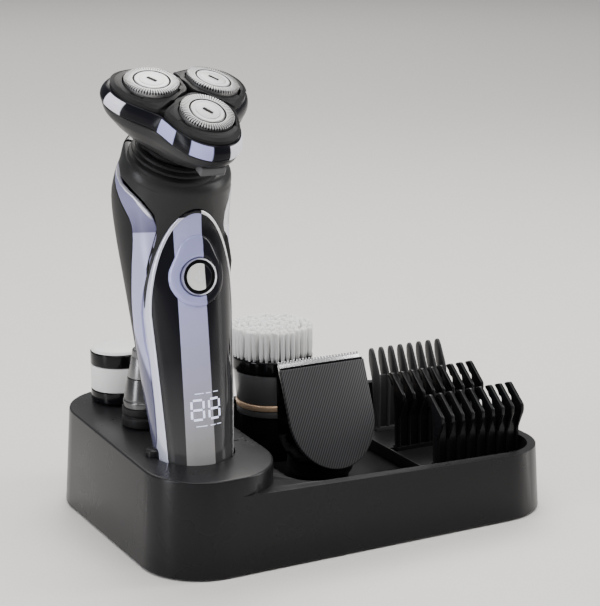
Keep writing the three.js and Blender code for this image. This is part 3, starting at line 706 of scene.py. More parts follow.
satinWhite = finishOf("satinWhite", (0.8, 0.8, 0.79), 0.4, tone=0.03, relief=0.03, grainSize=2400.0,
    dustAmount=0.04)
bristleWhite = finishOf("bristleWhite", (0.86, 0.86, 0.85), 0.55, tone=0.05, relief=0.3, sheen=0.3,
    stretch=((1, 1, 0.06), 3600.0))
combBlack = finishOf("combBlack", (0.007, 0.007, 0.008), 0.26, tone=0.15, relief=0.03, dustAmount=0.02)
combGrey = finishOf("combGrey", (0.035, 0.035, 0.037), 0.36, tone=0.12, relief=0.05, dustAmount=0.05)
coverPlastic = finishOf("coverPlastic", (0.03, 0.03, 0.032), 0.4, tone=0.06, relief=0.05, colourFrom=coverColours,
    place=clipperMapping)
displayGlow = finishOf("displayGlow", (0.75, 0.78, 1.0), 0.3, tone=0.02, relief=0.01,
    emission=((0.72, 0.76, 1.0), 1.1))
signGlow = finishOf("signGlow", (0.75, 0.75, 0.78), 0.3, tone=0.02, relief=0.01, emission=((0.8, 0.82, 1.0), 0.1))
greenBoard = finishOf("greenBoard", (0.015, 0.09, 0.04), 0.4, tone=0.3, relief=0.2, grainSize=900.0, coat=0.2)
nylonGear = finishOf("nylonGear", (0.7, 0.68, 0.6), 0.45, tone=0.05, relief=0.05, grainSize=1800.0)
batteryWrap = finishOf("batteryWrap", (0.05, 0.2, 0.42), 0.3, tone=0.1, relief=0.04, grainSize=1200.0, coat=0.4)
floorFinish = finishOf("floorFinish", (0.74, 0.725, 0.705), 0.4, tone=0.015, spread=0.03, relief=0.01,
    grainSize=90.0)
floor.data.materials.append(floorFinish)

world = bpy.data.worlds.new("paleStudio")
bpy.context.scene.world = world
world.use_nodes = True
world.node_tree.nodes["Background"].inputs["Color"].default_value = (0.92, 0.93, 0.95, 1)
world.node_tree.nodes["Background"].inputs["Strength"].default_value = 0.3
print("finishes are made")

# ---- stand

standShape = {"length": 165, "depth": 116, "corner": 23, "draft": 3, "low": 0.6, "platformTop": 37.4,
    "platformSlope": 1.8,
              "platformEdge": -32, "platformRound": 24, "rimTop": 26.6, "rimSlope": 1.65, "rim": 5, "trayFloor": 13,
              "rimSoftness": 1.9, "topSoftness": 0.8, "footSoftness": 0.5, "shift": 1.26}


def roundedBlock(low, high, corners, segments=12):
    # an upright block whose four corners have their own radii: front left, front right, back right, back left
    piece = block(low, high)
    spots = [(low[0], low[1]), (high[0], low[1]), (high[0], high[1]), (low[0], high[1])]
    for (x, y), radius in zip(spots, corners):
        if radius < 0.1:
            continue
        selectEdges(piece, lambda a, b, x=x, y=y: all(abs(p.x - x) < 0.01 and abs(p.y - y) < 0.01 for p in (a, b)))
        bpy.ops.mesh.bevel(offset=radius, segments=segments, profile=0.5, affect="EDGES", clamp_overlap=False)
        leaveEdit()
    return piece


def draftedBlock(inset, low, high):
    shape = standShape
    a, b, r = shape["length"] / 2 - inset, shape["depth"] / 2 - inset, shape["corner"] - inset
    piece = roundedBlock((-a, -b, low), (a, b, high), (r, r, r, r))
    lean = math.tan(math.radians(shape["draft"]))
    for vertex in piece.data.vertices:
        narrow = lean * vertex.co.z
        vertex.co.x *= 1 - narrow / a
        vertex.co.y *= 1 - narrow / b
    return piece


def cutAbove(piece, point, normal):
    editAll(piece)
    bpy.ops.mesh.bisect(plane_co=point, plane_no=normal, use_fill=True, clear_outer=True)
    leaveEdit()
    return piece


shape = standShape
slope, tip = math.radians(shape["platformSlope"]), math.radians(shape["rimSlope"])
platformNormal = Vector((0, -math.sin(slope), math.cos(slope)))
rimNormal = Vector((math.sin(tip), 0, math.cos(tip)))
platformPoint, rimPoint = Vector((0, 0, shape["platformTop"])), Vector((25, 0, shape["rimTop"]))
platform = draftedBlock(0, shape["low"], 45)
tower = roundedBlock((-90, 1.4 - shape["depth"] / 2, -2), (shape["platformEdge"], 65, 50),
    (1, shape["platformRound"], 1, 1), 18)
carved(platform, tower, "INTERSECT")
cutAbove(platform, platformPoint, platformNormal)
tray = draftedBlock(0, shape["low"], 45)
cutAbove(tray, rimPoint, rimNormal)
rightWall, frontWall = shape["length"] / 2 - shape["rim"], shape["depth"] / 2 - shape["rim"] - 0.6
recess = roundedBlock((shape["platformEdge"] + 3, -frontWall, shape["trayFloor"]), (rightWall, frontWall, 60),
    (11, 17, 17, 11), 12)
standBody = carved(carved(tray, platform, "UNION"), recess)
weld(standBody, 0.01)
applied(standBody, "DECIMATE", decimate_type="DISSOLVE", angle_limit=math.radians(0.3))
carved(standBody, draftedBlock(2.6, -2, 4.5))


def onPlane(point, normal, reach=0.02, least=-200):
    return lambda a, b: all(abs((p - point).dot(normal)) < reach and p.x > least for p in (a, b))


def footOrTrayFloor(a, b):
    atFoot = max(a.z, b.z) < shape["low"] + 0.02 and min(abs(a.x), abs(b.x)) > 0
    return atFoot or max(abs(p.z - shape["trayFloor"]) for p in (a, b)) < 0.02


for wanted, softness, segments in [(onPlane(rimPoint, rimNormal, 0.02, shape["platformEdge"] - 30), "rimSoftness",
        5),
                                   (onPlane(platformPoint, platformNormal), "topSoftness", 4),
                                   (footOrTrayFloor, "footSoftness", 3)]:
    selectEdges(standBody, wanted)
    bpy.ops.mesh.bevel(offset=shape[softness], segments=segments, profile=0.5, affect="EDGES", clamp_overlap=True)
    leaveEdit()
toLocal = Matrix.Translation((-shape["shift"], 0, 0))
well = disc(0, -0.6, -19.4, 8, 13.3, 72, 16.2)
well.data.transform(toLocal @ millimetres.inverted() @ handleFrame)
carved(standBody, well)
jackHole = disc(0, 0, -12, 12, 4.3, 32)
jackHole.data.transform(Matrix.Translation((-57, 58, 15)) @ Matrix.Rotation(math.pi / 2, 4, "X"))
carved(standBody, jackHole)
for low, high in [((-41.2, -21.4, 36), (-37.2, -20.7, 45)), ((-35.6, -22.6, 36), (-34.6, -21.9, 45))]:
    carved(standBody, block(low, high))
# what the pieces stand on, and the small ear beside the socket
holders = []
for spot, profile, sides, softness in [
        ((-0.2, 24, 0), [(0, 12), (13.4, 12), (13.4, 30.7), (4, 30.7), (4, 39), (0, 39)], 64, 0.6),
        ((-58.2, 41, 0), [(0, 36.5), (5, 36.5), (5, 46), (0, 46)], 32, 0.5),
        ((2, -11.5, 0), [(0, 12), (11, 12), (11, 15.7), (4, 15.7), (4, 21), (0, 21)], 48, 0.6),
        ((-60.6, 10, 0), [(0, 36), (4, 36), (4, 43.5), (0, 43.5)], 32, 0.5),
        ((-71.8, -22.5, 0), [(0, 34), (2.9, 34), (2.9, 39.6), (0, 39.6)], 32, 1.3)]:
    holder = lathe("holder", profile, sides, softness)
    holder.data.transform(Matrix.Translation(spot))
    holders.append(holder)
standBody = joined("stand_body", [standBody, *holders])
standBody.data.transform(Matrix.Translation((shape["shift"], 0, 0)))
settled(standBody, "stand_body", standFrame, "stand", ["stand_shell"], standPlastic, "shell", 30)
print("stand is built")


def refined(node, body, material, slot, name, width=0.35, segments=2, sharp=40):
    # a copy of a CAD node, merged, cleaned of flat triangles and softened along its edges
    copy = twin(frame["nodes"][node])
    copy.parent = None
    for key in list(copy.keys()):
        del copy[key]
    copy.data.materials.clear()
    copy.data.transform(millimetres.inverted())
    weld(copy, 0.003)
    applied(copy, "DECIMATE", decimate_type="DISSOLVE", angle_limit=math.radians(1.5))
    softEdges(copy, width, segments, sharp)
    return settled(copy, name, millimetres, body, [node], material, slot, 35)


for node, body, material, slot, name, width in [
        ("base_plate", "stand", softRubber, "rubber", "stand_underside", 0.3),
        ("comb_rack", "stand", trayPlastic, "rubber", "comb_holder", 0.4),
        *[("foot_" + str(k + 1), "stand", softRubber, "rubber", "pad_" + side, 0.3)
          for k, side in enumerate(("front_left", "front_right", "back_left", "back_right"))],
        ("stand_jack", "stand", foilSteel, "steel", "power_socket", 0.2),
        ("charge_port", "handle", foilSteel, "steel", "handle_socket", 0.2),
        ("release_tab", "release_tab", tabGrey, "gloss", "head_release", 0.45),
        ("clipper_coupling", "clipper", softRubber, "rubber", "clipper_foot", 0.4)]:
    refined(node, body, material, slot, name, width)
for node, material in {
        "stand_circuit": greenBoard, "charge_pin": goldRing, "battery": batteryWrap, "circuit_board": greenBoard,
        "motor": paleMetal,
        "motor_shaft": bladeSteel, "centre_gear": nylonGear, "trimmer_cutter": bladeSteel,
        **{"drive_gear_" + str(k): nylonGear for k in (1, 2, 3)},
        **{"rotor_" + str(k): bladeSteel for k in (1, 2, 3)}}.items():
    kept = frame["nodes"][node]
    kept.data.materials.clear()
    kept.data.materials.append(material)
print("plain pieces are refined")

# ---- handle skin

gripShape = {
    "line": [(-18, 11.4), (-16.5, 12.7), (0, 14.2), (30, 16.7), (58, 18.8), (80, 20.4), (93, 21.3), (101, 20.3),
    (106, 18.2), (112, 16.6), (118, 14.8), (124, 12.6)],
    "shift": [(-18, -0.6), (0, -0.6), (30, 0.6), (58, 2), (80, 3.4), (93, 1.6), (101, -1.2), (106, -1.6),
    (112, -1.6)],
    "rearSeam": [(112, 9), (100, 3.5), (91, -1.4), (82, -4.8), (66, -1.8), (51, 2), (30, 5.2), (-20, 5.6)],
    "frontSeam": [(112, 7), (99.5, 1), (91.4, -8.6), (82, -12.6), (68, -9.6), (55, -6.1), (25, -4.2), (-20, -3.6)],
    "foot": -13.2, "gap": 0.12, "wall": 1.5, "neck": -28.3, "shoulder": 3.2, "softness": 0.3}
radiusAt, shiftAt = smoothThrough(gripShape["line"]), smoothThrough(gripShape["shift"])
rearAt, frontAt = smoothThrough(gripShape["rearSeam"]), smoothThrough(gripShape["frontSeam"])
neckMatrix = handleFrame.inverted() @ headFrame
neckPoint = neckMatrix @ Vector((0, 0, gripShape["neck"]))
neckNormal = (neckMatrix.to_3x3() @ Vector((0, 0, 1))).normalized()


def skin(angle, height, proud=0.0):
    # a point of the grip: the angle is 0 at the front and runs towards +X
    reach = radiusAt(height) + proud
    return Vector((reach * math.sin(angle), shiftAt(height) - reach * math.cos(angle), height))


def skinAcross(x, height, proud=0.0):
    # the same surface found from the front, at a sideways distance x
    reach = radiusAt(height) + proud
    return Vector((x, shiftAt(height) - math.sqrt(max(reach * reach - x * x, 0)), height))


def neckHeight(angle):
    low, high = 80.0, 123.0
    for _ in range(30):
        middle = (low + high) / 2
        if (skin(angle, middle) - neckPoint).dot(neckNormal) > 0:
            high = middle
        else:
            low = middle
    return low


def seamAngle(seamAt, height):
    reach = radiusAt(height)
    return math.acos(min(1, max(-1, (shiftAt(height) - seamAt(height)) / reach)))


def shoulderPoint(angle, part):
    # over the shoulder: 0 is below the neck's edge, 1 is on the lid inside it
    edgeHeight = neckHeight(angle)
    edge = skin(angle, edgeHeight)
    below = skin(angle, edgeHeight - gripShape["shoulder"])
    inward = edge + (neckPoint - edge) * min(1, gripShape["shoulder"] / (neckPoint - edge).length)
    return below * (1 - part) ** 2 + edge * 2 * part * (1 - part) + inward * part * part


def topOf(angleAt):
    # where a line up the grip meets the shoulder: its angle there and the height
    topAngle = angleAt(neckHeight(angleAt(105)))
    return topAngle, neckHeight(topAngle) - gripShape["shoulder"]


def settledAngle(angleAt, height):
    # the line's angle, led gently to its top angle over the last stretch
    topAngle, top = topOf(angleAt)
    blend = min(1, max(0, (height - top + 6) / 6))
    return angleAt(height) * (1 - blend) + topAngle * blend


def gripColumn(angleAt, lowHeight, rows, bend=6, lid=2):
    # one column of the skin, from lowHeight up over the shoulder and in across the lid
    topAngle, top = topOf(angleAt)
    points = []
    for j in range(rows + 1):
        height = lowHeight + (top - lowHeight) * j / rows
        points.append(skin(settledAngle(angleAt, height), height))
    points += [shoulderPoint(topAngle, j / bend) for j in range(1, bend + 1)]
    start = points[-1]
    points += [start + (neckPoint - start) * 0.8 * j / lid for j in range(1, lid + 1)]
    return points


panelShape = {"arch": 50, "archHeight": 36, "half": 16.6, "footHalf": 13.3, "foot": -13.2, "rim": 1.3,
    "proud": 0.35}


def panelHalf(height, inset=0.0):
    s = panelShape
    if height > s["arch"]:
        t = min(1, (height - s["arch"]) / (s["archHeight"] - inset))
        return (s["half"] - inset) * math.sqrt(max(0, 1 - t * t))
    return s["footHalf"] + (s["half"] - s["footHalf"]) * (height - s["foot"]) / (s["arch"] - s["foot"]) - inset


def panelAngle(height, inset=0.0):
    half = panelHalf(height, inset)
    return math.asin(min(1, half / radiusAt(height))) if half > 0 else 0.0


def frontLimit(height):
    gap = gripShape["gap"] / radiusAt(height)
    beside = 0.3 + 0.55 * min(1, max(0, (height - 33) / 6))
    return max(seamAngle(frontAt, height) + gap, panelAngle(height, -beside) if height < 84 else 0)


def rearLimit(height):
    return seamAngle(rearAt, height)


def skinPiece(name, angleOf, columns, lowHeight, rows, nodes, material, slot):
    made = [gripColumn(lambda h, u=i / columns: angleOf(u, h), lowHeight, rows) for i in range(columns + 1)]
    piece = shapedGrid(name, columns, len(made[0]) - 1, lambda i, j: made[i][j])
    facingAway(piece, lambda c: (0, shiftAt(c.z), c.z - 2 if c.z > 96 else c.z))
    walled(piece, gripShape["wall"], gripShape["softness"])
    return settled(piece, name, handleFrame, "handle", nodes, material, slot, 38)


def rearAngle(u, height):
    limit = rearLimit(height) + gripShape["gap"] / radiusAt(height)
    return limit + (2 * math.pi - 2 * limit) * u


def trimAngle(side):
    def at(u, height):
        low, high = frontLimit(height), rearLimit(height) - gripShape["gap"] / radiusAt(height)
        return side * (low + (max(high, low + 0.02) - low) * u)
    return at


skinPiece("rear_grip", rearAngle, 64, gripShape["foot"], 44, ["rear_shell"], softRubber, "rubber")
skinPiece("trim_right", trimAngle(1), 12, gripShape["foot"], 48, ["side_trim_right"], lilacTrim, "trim")
skinPiece("trim_left", trimAngle(-1), 12, gripShape["foot"], 48, ["side_trim_left"], lilacTrim, "trim")


def archHeightAt(x, inset=-0.3):
    s = panelShape
    t = min(1, abs(x) / (s["half"] - inset))
    return s["arch"] + (s["archHeight"] - inset) * math.sqrt(max(0, 1 - t * t))


def archStart(angle):
    height = 80.0
    for _ in range(24):
        height = 0.5 * height + 0.5 * archHeightAt(radiusAt(height) * math.sin(angle))
    return height


meetHeight = 57.5
while frontLimit(meetHeight) > panelAngle(meetHeight, -0.3) + 0.002 and meetHeight > 51:
    meetHeight -= 0.1
cowlColumns, cowlRows = 44, 12


def cowlEdge(height):
    return seamAngle(frontAt, height) - gripShape["gap"] / radiusAt(height)


edgeAngle, edgeTop = topOf(cowlEdge)
cowl = []
for i in range(cowlColumns + 1):
    u = 2 * i / cowlColumns - 1
    low, top = archStart(u * cowlEdge(meetHeight)), neckHeight(u * edgeAngle) - gripShape["shoulder"]
    column = []
    for j in range(cowlRows + 1):
        share = j / cowlRows
        column.append(skin(u * settledAngle(cowlEdge, meetHeight + (edgeTop - meetHeight) * share),
            low + (top - low) * share))
    column += gripColumn(lambda height, u=u: u * edgeAngle, top, 1)[2:]
    cowl.append(column)
piece = shapedGrid("front_cowl", cowlColumns, len(cowl[0]) - 1, lambda i, j: cowl[i][j])
facingAway(piece, lambda c: (0, shiftAt(c.z), c.z - 2 if c.z > 96 else c.z))
walled(piece, 0.9, 0)
settled(piece, "front_cowl", handleFrame, "handle", ["front_shell"], gripShell, "shell", 50)
print("grip skin is built")


# the bright rim round the front panel, a half-round strip
def panelOutline(inset, count=140):
    s = panelShape
    points = []
    sideRows = 46
    for k in range(sideRows):
        height = s["foot"] + inset + (s["arch"] - s["foot"] - inset) * k / sideRows
        points.append((-panelHalf(height, inset), height))
    for k in range(count - 2 * sideRows + 1):
        angle = math.pi - math.pi * k / (count - 2 * sideRows)
        points.append(((s["half"] - inset) * math.cos(angle),
            s["arch"] + (s["archHeight"] - inset) * math.sin(angle)))
    for k in range(sideRows):
        height = s["arch"] - (s["arch"] - s["foot"] - inset) * (k + 1) / sideRows
        points.append((panelHalf(height, inset), height))
    footHalf = panelHalf(s["foot"] + inset, inset)
    points += [(footHalf - 2 * footHalf * k / 12, s["foot"] + inset) for k in range(1, 12)]
    return points


rimProfile = [(0.0, -0.9), (0.02, 0.05), (0.22, 0.3), (0.65, 0.42), (1.08, 0.3), (1.28, 0.05), (1.3, -0.9)]
outlines = [panelOutline(inset) for inset, proud in rimProfile]
piece = shapedGrid("panel_rim", len(outlines[0]), len(rimProfile) - 1,
                   lambda i, j: skinAcross(*outlines[j][i], rimProfile[j][1]), closedAcross=True)
facingAway(piece, lambda c: (0, shiftAt(c.z), c.z))
settled(piece, "panel_rim", handleFrame, "handle", ["panel_bezel"], bezelChrome, "chrome", 60)

panelColumns, panelRows, panelInset = 36, 60, 1.25


def panelPoint(i, j):
    s = panelShape
    u = 2 * i / panelColumns - 1
    u = math.sin(u * math.pi / 2)
    top = s["arch"] + (s["archHeight"] - panelInset) * math.sqrt(max(0, 1 - u * u))
    height = s["foot"] + panelInset + (top - s["foot"] - panelInset) * j / panelRows
    half = panelHalf(min(height, s["arch"]), panelInset)
    return skinAcross(u * half, height, 0.08)


glass = shapedGrid("panel_glass", panelColumns, panelRows, panelPoint)
facingAway(glass, lambda c: (0, shiftAt(c.z), c.z))
walled(glass, 0.9, 0)

# the egg-shaped button surround, with a round bore
buttonShape = {"height": 62.6, "bore": 6.95, "low": 10.4, "high": 7.2, "rise": 7.4, "columns": 96}


def eggPoint(angle):
    # where a ray from the bore's centre meets the egg outline
    s = buttonShape
    direction = Vector((math.sin(angle), -math.cos(angle)))
    spine = [(s["rise"] * k / 16, s["low"] + (s["high"] - s["low"]) * k / 16) for k in range(17)]
    reach = 4.0
    for _ in range(400):
        x, z = direction.x * reach, direction.y * reach
        if min(math.hypot(x, z - along) - radius for along, radius in spine) >= 0:
            break
        reach += 0.05
    return direction * reach


surroundProfile = [(0.0, -1.6), (0.0, 0.35), (0.05, 0.6), (0.16, 0.72), (0.3, 0.66), (0.55, 0.85), (0.8, 0.8),
    (0.93, 0.55), (1.0, 0.2), (1.0, -0.6)]
eggOutline = [eggPoint(2 * math.pi * i / buttonShape["columns"]) for i in range(buttonShape["columns"])]


def surroundPoint(i, j):
    s = buttonShape
    share, proud = surroundProfile[j]
    angle = 2 * math.pi * i / s["columns"]
    bore = Vector((math.sin(angle), -math.cos(angle))) * s["bore"]
    spot = bore * (1 - share) + eggOutline[i % s["columns"]] * share
    return skinAcross(spot.x, s["height"] + spot.y, proud)


piece = shapedGrid("button_surround", buttonShape["columns"], len(surroundProfile) - 1, surroundPoint,
    closedAcross=True)
facingAway(piece, lambda c: (0, shiftAt(c.z), c.z))
settled(piece, "button_surround", handleFrame, "handle", ["button_ring"], buttonPlating, "chrome", 60)

# the round button: a chrome ring, a dark channel and a dished face with the power sign
towardsFront = Matrix.Translation((0, 0, buttonShape["height"])) @ Matrix.Rotation(math.pi / 2, 4, "X")
buttonFront = -(skinAcross(0, buttonShape["height"], 0.15).y)
bore = lathe("bore", [(0, buttonFront - 5), (6.8, buttonFront - 5), (6.8, buttonFront + 3), (0, buttonFront + 3)],
    72, 0.1)
bore.data.transform(towardsFront)
carved(glass, bore)
settled(glass, "panel_glass", handleFrame, "handle", ["front_panel"], panelGlass, "gloss", 60)
# profiles of (radius, height over the button's front)
for name, profile, sides, softness, nodes, material, slot in [
        ("button_dial", [(0, -3), (4.75, -3), (4.75, 0.25), (3.6, 0.38), (0, 0.28)], 72, 0.25, [], dialChrome,
        "chrome"),
        ("button_channel", [(4.3, -2.6), (6.3, -2.6), (6.3, -0.04), (4.3, -0.04)], 72, 0.15, [], pianoBlack,
        "gloss"),
        ("button_edge", [(6, -3), (6.6, -3), (6.6, 0.3), (6.35, 0.6), (6, 0.3)], 84, 0.25, ["power_button"],
        ringChrome, "chrome")]:
    turnedPart = lathe(name, [(radius, buttonFront + height) for radius, height in profile], sides, softness)
    turnedPart.data.transform(towardsFront)
    settled(turnedPart, name, handleFrame, "power_button", nodes, material, slot, 40)


def flatStroke(points, width, lift, thickness=0.08):
    # a thin raised stroke along front-view points (x, z), lying at y = lift(x, z)
    rows = len(points) - 1

    def at(i, j):
        here = Vector(points[i])
        before, after = Vector(points[max(i - 1, 0)]), Vector(points[min(i + 1, rows)])
        along = (after - before).normalized()
        side = Vector((-along.y, along.x)) * width * (j - 0.5)
        spot = here + side
        return Vector((spot.x, lift(spot.x, spot.y), spot.y))

    piece = shapedGrid("stroke", rows, 1, at)
    facingAway(piece, lambda c: (c.x, 10, c.z))
    applied(piece, "SOLIDIFY", thickness=thickness, offset=-1)
    return piece


def overDial(*spot):
    return -buttonFront - 0.42


signRadius = 1.55
signTurns = [math.radians(42 + 276 * k / 26) for k in range(27)]
arc = [(signRadius * math.sin(a), buttonShape["height"] + signRadius * math.cos(a)) for a in signTurns]
strokes = [flatStroke(arc, 0.34, overDial), flatStroke([(0, buttonShape["height"] + 0.4),
    (0, buttonShape["height"] + 1.2), (0, buttonShape["height"] + 2.1)], 0.34, overDial)]
sign = joined("power_sign", strokes)
settled(sign, "power_sign", handleFrame, "power_button", [], signGlow, "light", 40)

displayShape = {"centre": (-0.4, 15.8), "digit": (4.2, 7.0), "pitch": 6.3, "stroke": 0.72, "proud": 0.16}


def onPanel(x, z):
    return skinAcross(x, z, displayShape["proud"]).y


strokes = []
s = displayShape
for k in (-0.5, 0.5):
    middle = s["centre"][0] + k * s["pitch"]
    left, right = middle - s["digit"][0] / 2, middle + s["digit"][0] / 2
    low, high = s["centre"][1] - s["digit"][1] / 2, s["centre"][1] + s["digit"][1] / 2
    for height in (low, (low + high) / 2, high):
        strokes.append(flatStroke([(left + 0.55 + (right - left - 1.1) * t / 6, height) for t in range(7)],
            s["stroke"], onPanel))
    for x in (left, right):
        for start, end in ((low, (low + high) / 2), ((low + high) / 2, high)):
            strokes.append(flatStroke([(x, start + 0.45 + (end - start - 0.9) * t / 3) for t in range(4)],
                s["stroke"], onPanel))
for x, z, half in [(-2.8, 21.6, 1.6), (0.6, 21.6, 0.9), (3.6, 21.7, 1.0), (-2.4, 9.9, 2.0), (1.8, 9.9, 1.0),
        (4.4, 10.0, 0.9)]:
    strokes.append(flatStroke([(x - half + half * t / 2, z) for t in range(5)], 0.24, onPanel))
digits = joined("display_digits", strokes)
settled(digits, "display_digits", handleFrame, "handle", ["display"], displayGlow, "light", 40)

footCap = lathe("grip_foot", [(0, -18), (11.4, -18), (12.9, -16.6), (13.15, -13.65), (4.4, -13.65), (4.4, -17),
    (0, -17)], 64, 0.5)
footCap.data.transform(Matrix.Translation((0, -0.6, 0)))
settled(footCap, "grip_foot", handleFrame, "handle", ["bottom_cap"], softRubber, "rubber")
print("front panel, button and display are built")

# ---- neck and shaving head

turned("neck_bellows", [(8, -29.5), (16.4, -29.5), (16.1, -27.7), (14.9, -27.2), (14.5, -26.9), (15.5, -26.2),
    (15.4, -25.5), (14.1, -25.1),
                                 (13.8, -24.8), (14.6, -24.3), (14.2, -23.6), (12.5, -23.6), (12.5, -26.8),
                                 (8, -26.8)], 72, 0.35, headFrame, "handle", ["neck_collar"], softRubber, "rubber")
turned("swivel_bellows", [(5.6, -22.4), (12.6, -22.4), (13.5, -21.9), (12.9, -21.4), (13.7, -20.95), (5.6, -20.95)],
    72, 0.25, headFrame, "swivel", ["swivel_ring"], softRubber, "rubber")
turned("swivel_core", [(6.2, -25.4), (10.4, -25.4), (11.7, -24), (11.5, -21.6), (6.2, -21.6)], 72, 0.4, headFrame,
    "swivel", [], softRubber, "rubber")

headShape = {"circle": 13.75, "hole": 10.2, "groove": 0.62, "tilt": 6.7, "angles": [-90, 30, 150],
    "edge": (21.9, 5.45)}


def lobe(angle, mean, swing):
    return mean + swing * math.cos(3 * (angle + math.pi / 2))


def lobedBody(name, profile, sides=132):
    # a closed profile of (height, mean radius, swing), led round the three lobes
    piece = shapedGrid(name, sides, len(profile),
                       lambda i, j: Vector((math.cos(2 * math.pi * i / sides), math.sin(2 * math.pi * i / sides),
                       0))
                       * lobe(2 * math.pi * i / sides, *profile[j][1:]) + Vector((0, 0, profile[j][0])),
                       closedAcross=True, closedAlong=True)
    weld(piece)
    return piece


def lobedProfile(points, softness=0.4, steps=3):
    return rounded(points, softness, steps, closed=True)


bandShape = lobedProfile([(-10, 22.6, 5.5), (-10, 24.1, 5.6), (-8.6, 24.25, 5.75), (-7, 23.9, 5.8),
    (-5.6, 23.2, 5.65), (-4.7, 22.4, 5.5), (-4.7, 20.8, 5.35)], 0.45)
settled(lobedBody("head_band", bandShape), "head_band", headFrame, "cutter_unit", ["accent_band"], headBandGloss,
    "trim", 50)
bowlShape = lobedProfile([(-20.6, 5.6, 0), (-20.6, 15, 1.4), (-19.6, 17, 2.2), (-17, 20, 3.4), (-13.5, 22.9, 4.9),
    (-10.3, 23.9, 5.5), (-10.3, 22.2, 5.3),
                          (-13.5, 21, 4.7), (-17, 18, 3), (-18.8, 14, 1.2), (-18.8, 5.6, 0)], 0.9)
bowl = lobedBody("head_shell", bowlShape)
carved(bowl, block((-5, -32, -21), (5, -21, -13.9)))
settled(bowl, "head_shell", headFrame, "head_base", ["head_bowl"], headShell, "shell", 40)

domeRings = [(-0.15, 0, 0), (-0.25, 4, 0), (-0.8, 10, 1.5), (-1.65, 16.5, 3.6), (-2.5, 20.3, 5), (-3.1, 21.6, 5.4),
    (-3.9, 22.2, 5.5)]


def domeHeight(x, y):
    reach, angle = math.hypot(x, y), math.atan2(y, x)
    curve = smoothThrough([(lobe(angle, mean, swing) if mean else 0.0, z) for z, mean, swing in domeRings])
    return curve(reach)


def plateReach(centreAngle, turn):
    # how far the plate runs from its cutter's centre: to the two grooves or to the lobed edge
    centre = Vector((math.cos(centreAngle), math.sin(centreAngle))) * headShape["circle"]
    direction = Vector((math.cos(turn), math.sin(turn)))
    limits = []
    for side in (-1, 1):
        groove = centreAngle + side * math.pi / 3
        normal = Vector((-math.sin(groove), math.cos(groove))) * side
        towards = direction.dot(normal)
        if towards > 1e-4:
            limits.append((-headShape["groove"] - centre.dot(normal)) / towards)
    low, high = 0.0, 40.0
    for _ in range(28):
        middle = (low + high) / 2
        spot = centre + direction * middle
        if spot.length < lobe(math.atan2(spot.y, spot.x), *headShape["edge"]):
            low = middle
        else:
            high = middle
    limits.append(low)
    return sum(limit ** -14 for limit in limits) ** (-1 / 14)


plateRows = [(0, -0.05, -3.0), (0, 0.0, -0.5), (0, 0.06, -0.2), (0, 0.2, -0.04),
    (0, 0.45, 0)] + [(k / 9, 0, 0) for k in range(1, 9)] + [
    (1, -0.5, 0), (1, -0.22, -0.06), (1, -0.07, -0.24), (1, 0, -0.55), (1, 0, -2.2)]
plates = []
for degrees in headShape["angles"]:
    middle = math.radians(degrees)
    centre = Vector((math.cos(middle), math.sin(middle))) * headShape["circle"]
    columns = 120
    reaches = [plateReach(middle, 2 * math.pi * i / columns) for i in range(columns)]

    def platePoint(i, j, middle=middle, centre=centre, reaches=reaches, columns=columns):
        share, push, drop = plateRows[j]
        turn = 2 * math.pi * i / columns
        hole = headShape["hole"]
        reach = hole + max(reaches[i % columns] - hole, 0.35) * share + push
        spot = centre + Vector((math.cos(turn), math.sin(turn))) * reach
        return Vector((spot.x, spot.y, domeHeight(spot.x, spot.y) + drop))

    plate = shapedGrid("plate", columns, len(plateRows) - 1, platePoint, closedAcross=True)
    facingAway(plate, lambda c: (c.x, c.y, c.z - 10))
    applied(plate, "SOLIDIFY", thickness=0.7, offset=-1, use_even_offset=False)
    plates.append(plate)
settled(joined("cutter_plates", plates), "cutter_plates", headFrame, "cutter_unit", ["cutter_frame"], plateBlack,
    "shell", 40)
spokes = []
for degrees in headShape["angles"]:
    spoke = block((0, -1.5, -5), (15.9, 1.5, -3.2))
    softEdges(spoke, 0.2, 2)
    spoke.data.transform(Matrix.Rotation(math.radians(degrees + 60), 4, "Z"))
    spokes.append(spoke)
settled(joined("plate_spokes", spokes), "plate_spokes", headFrame, "cutter_unit", [], slotBlack, "shell", 40)

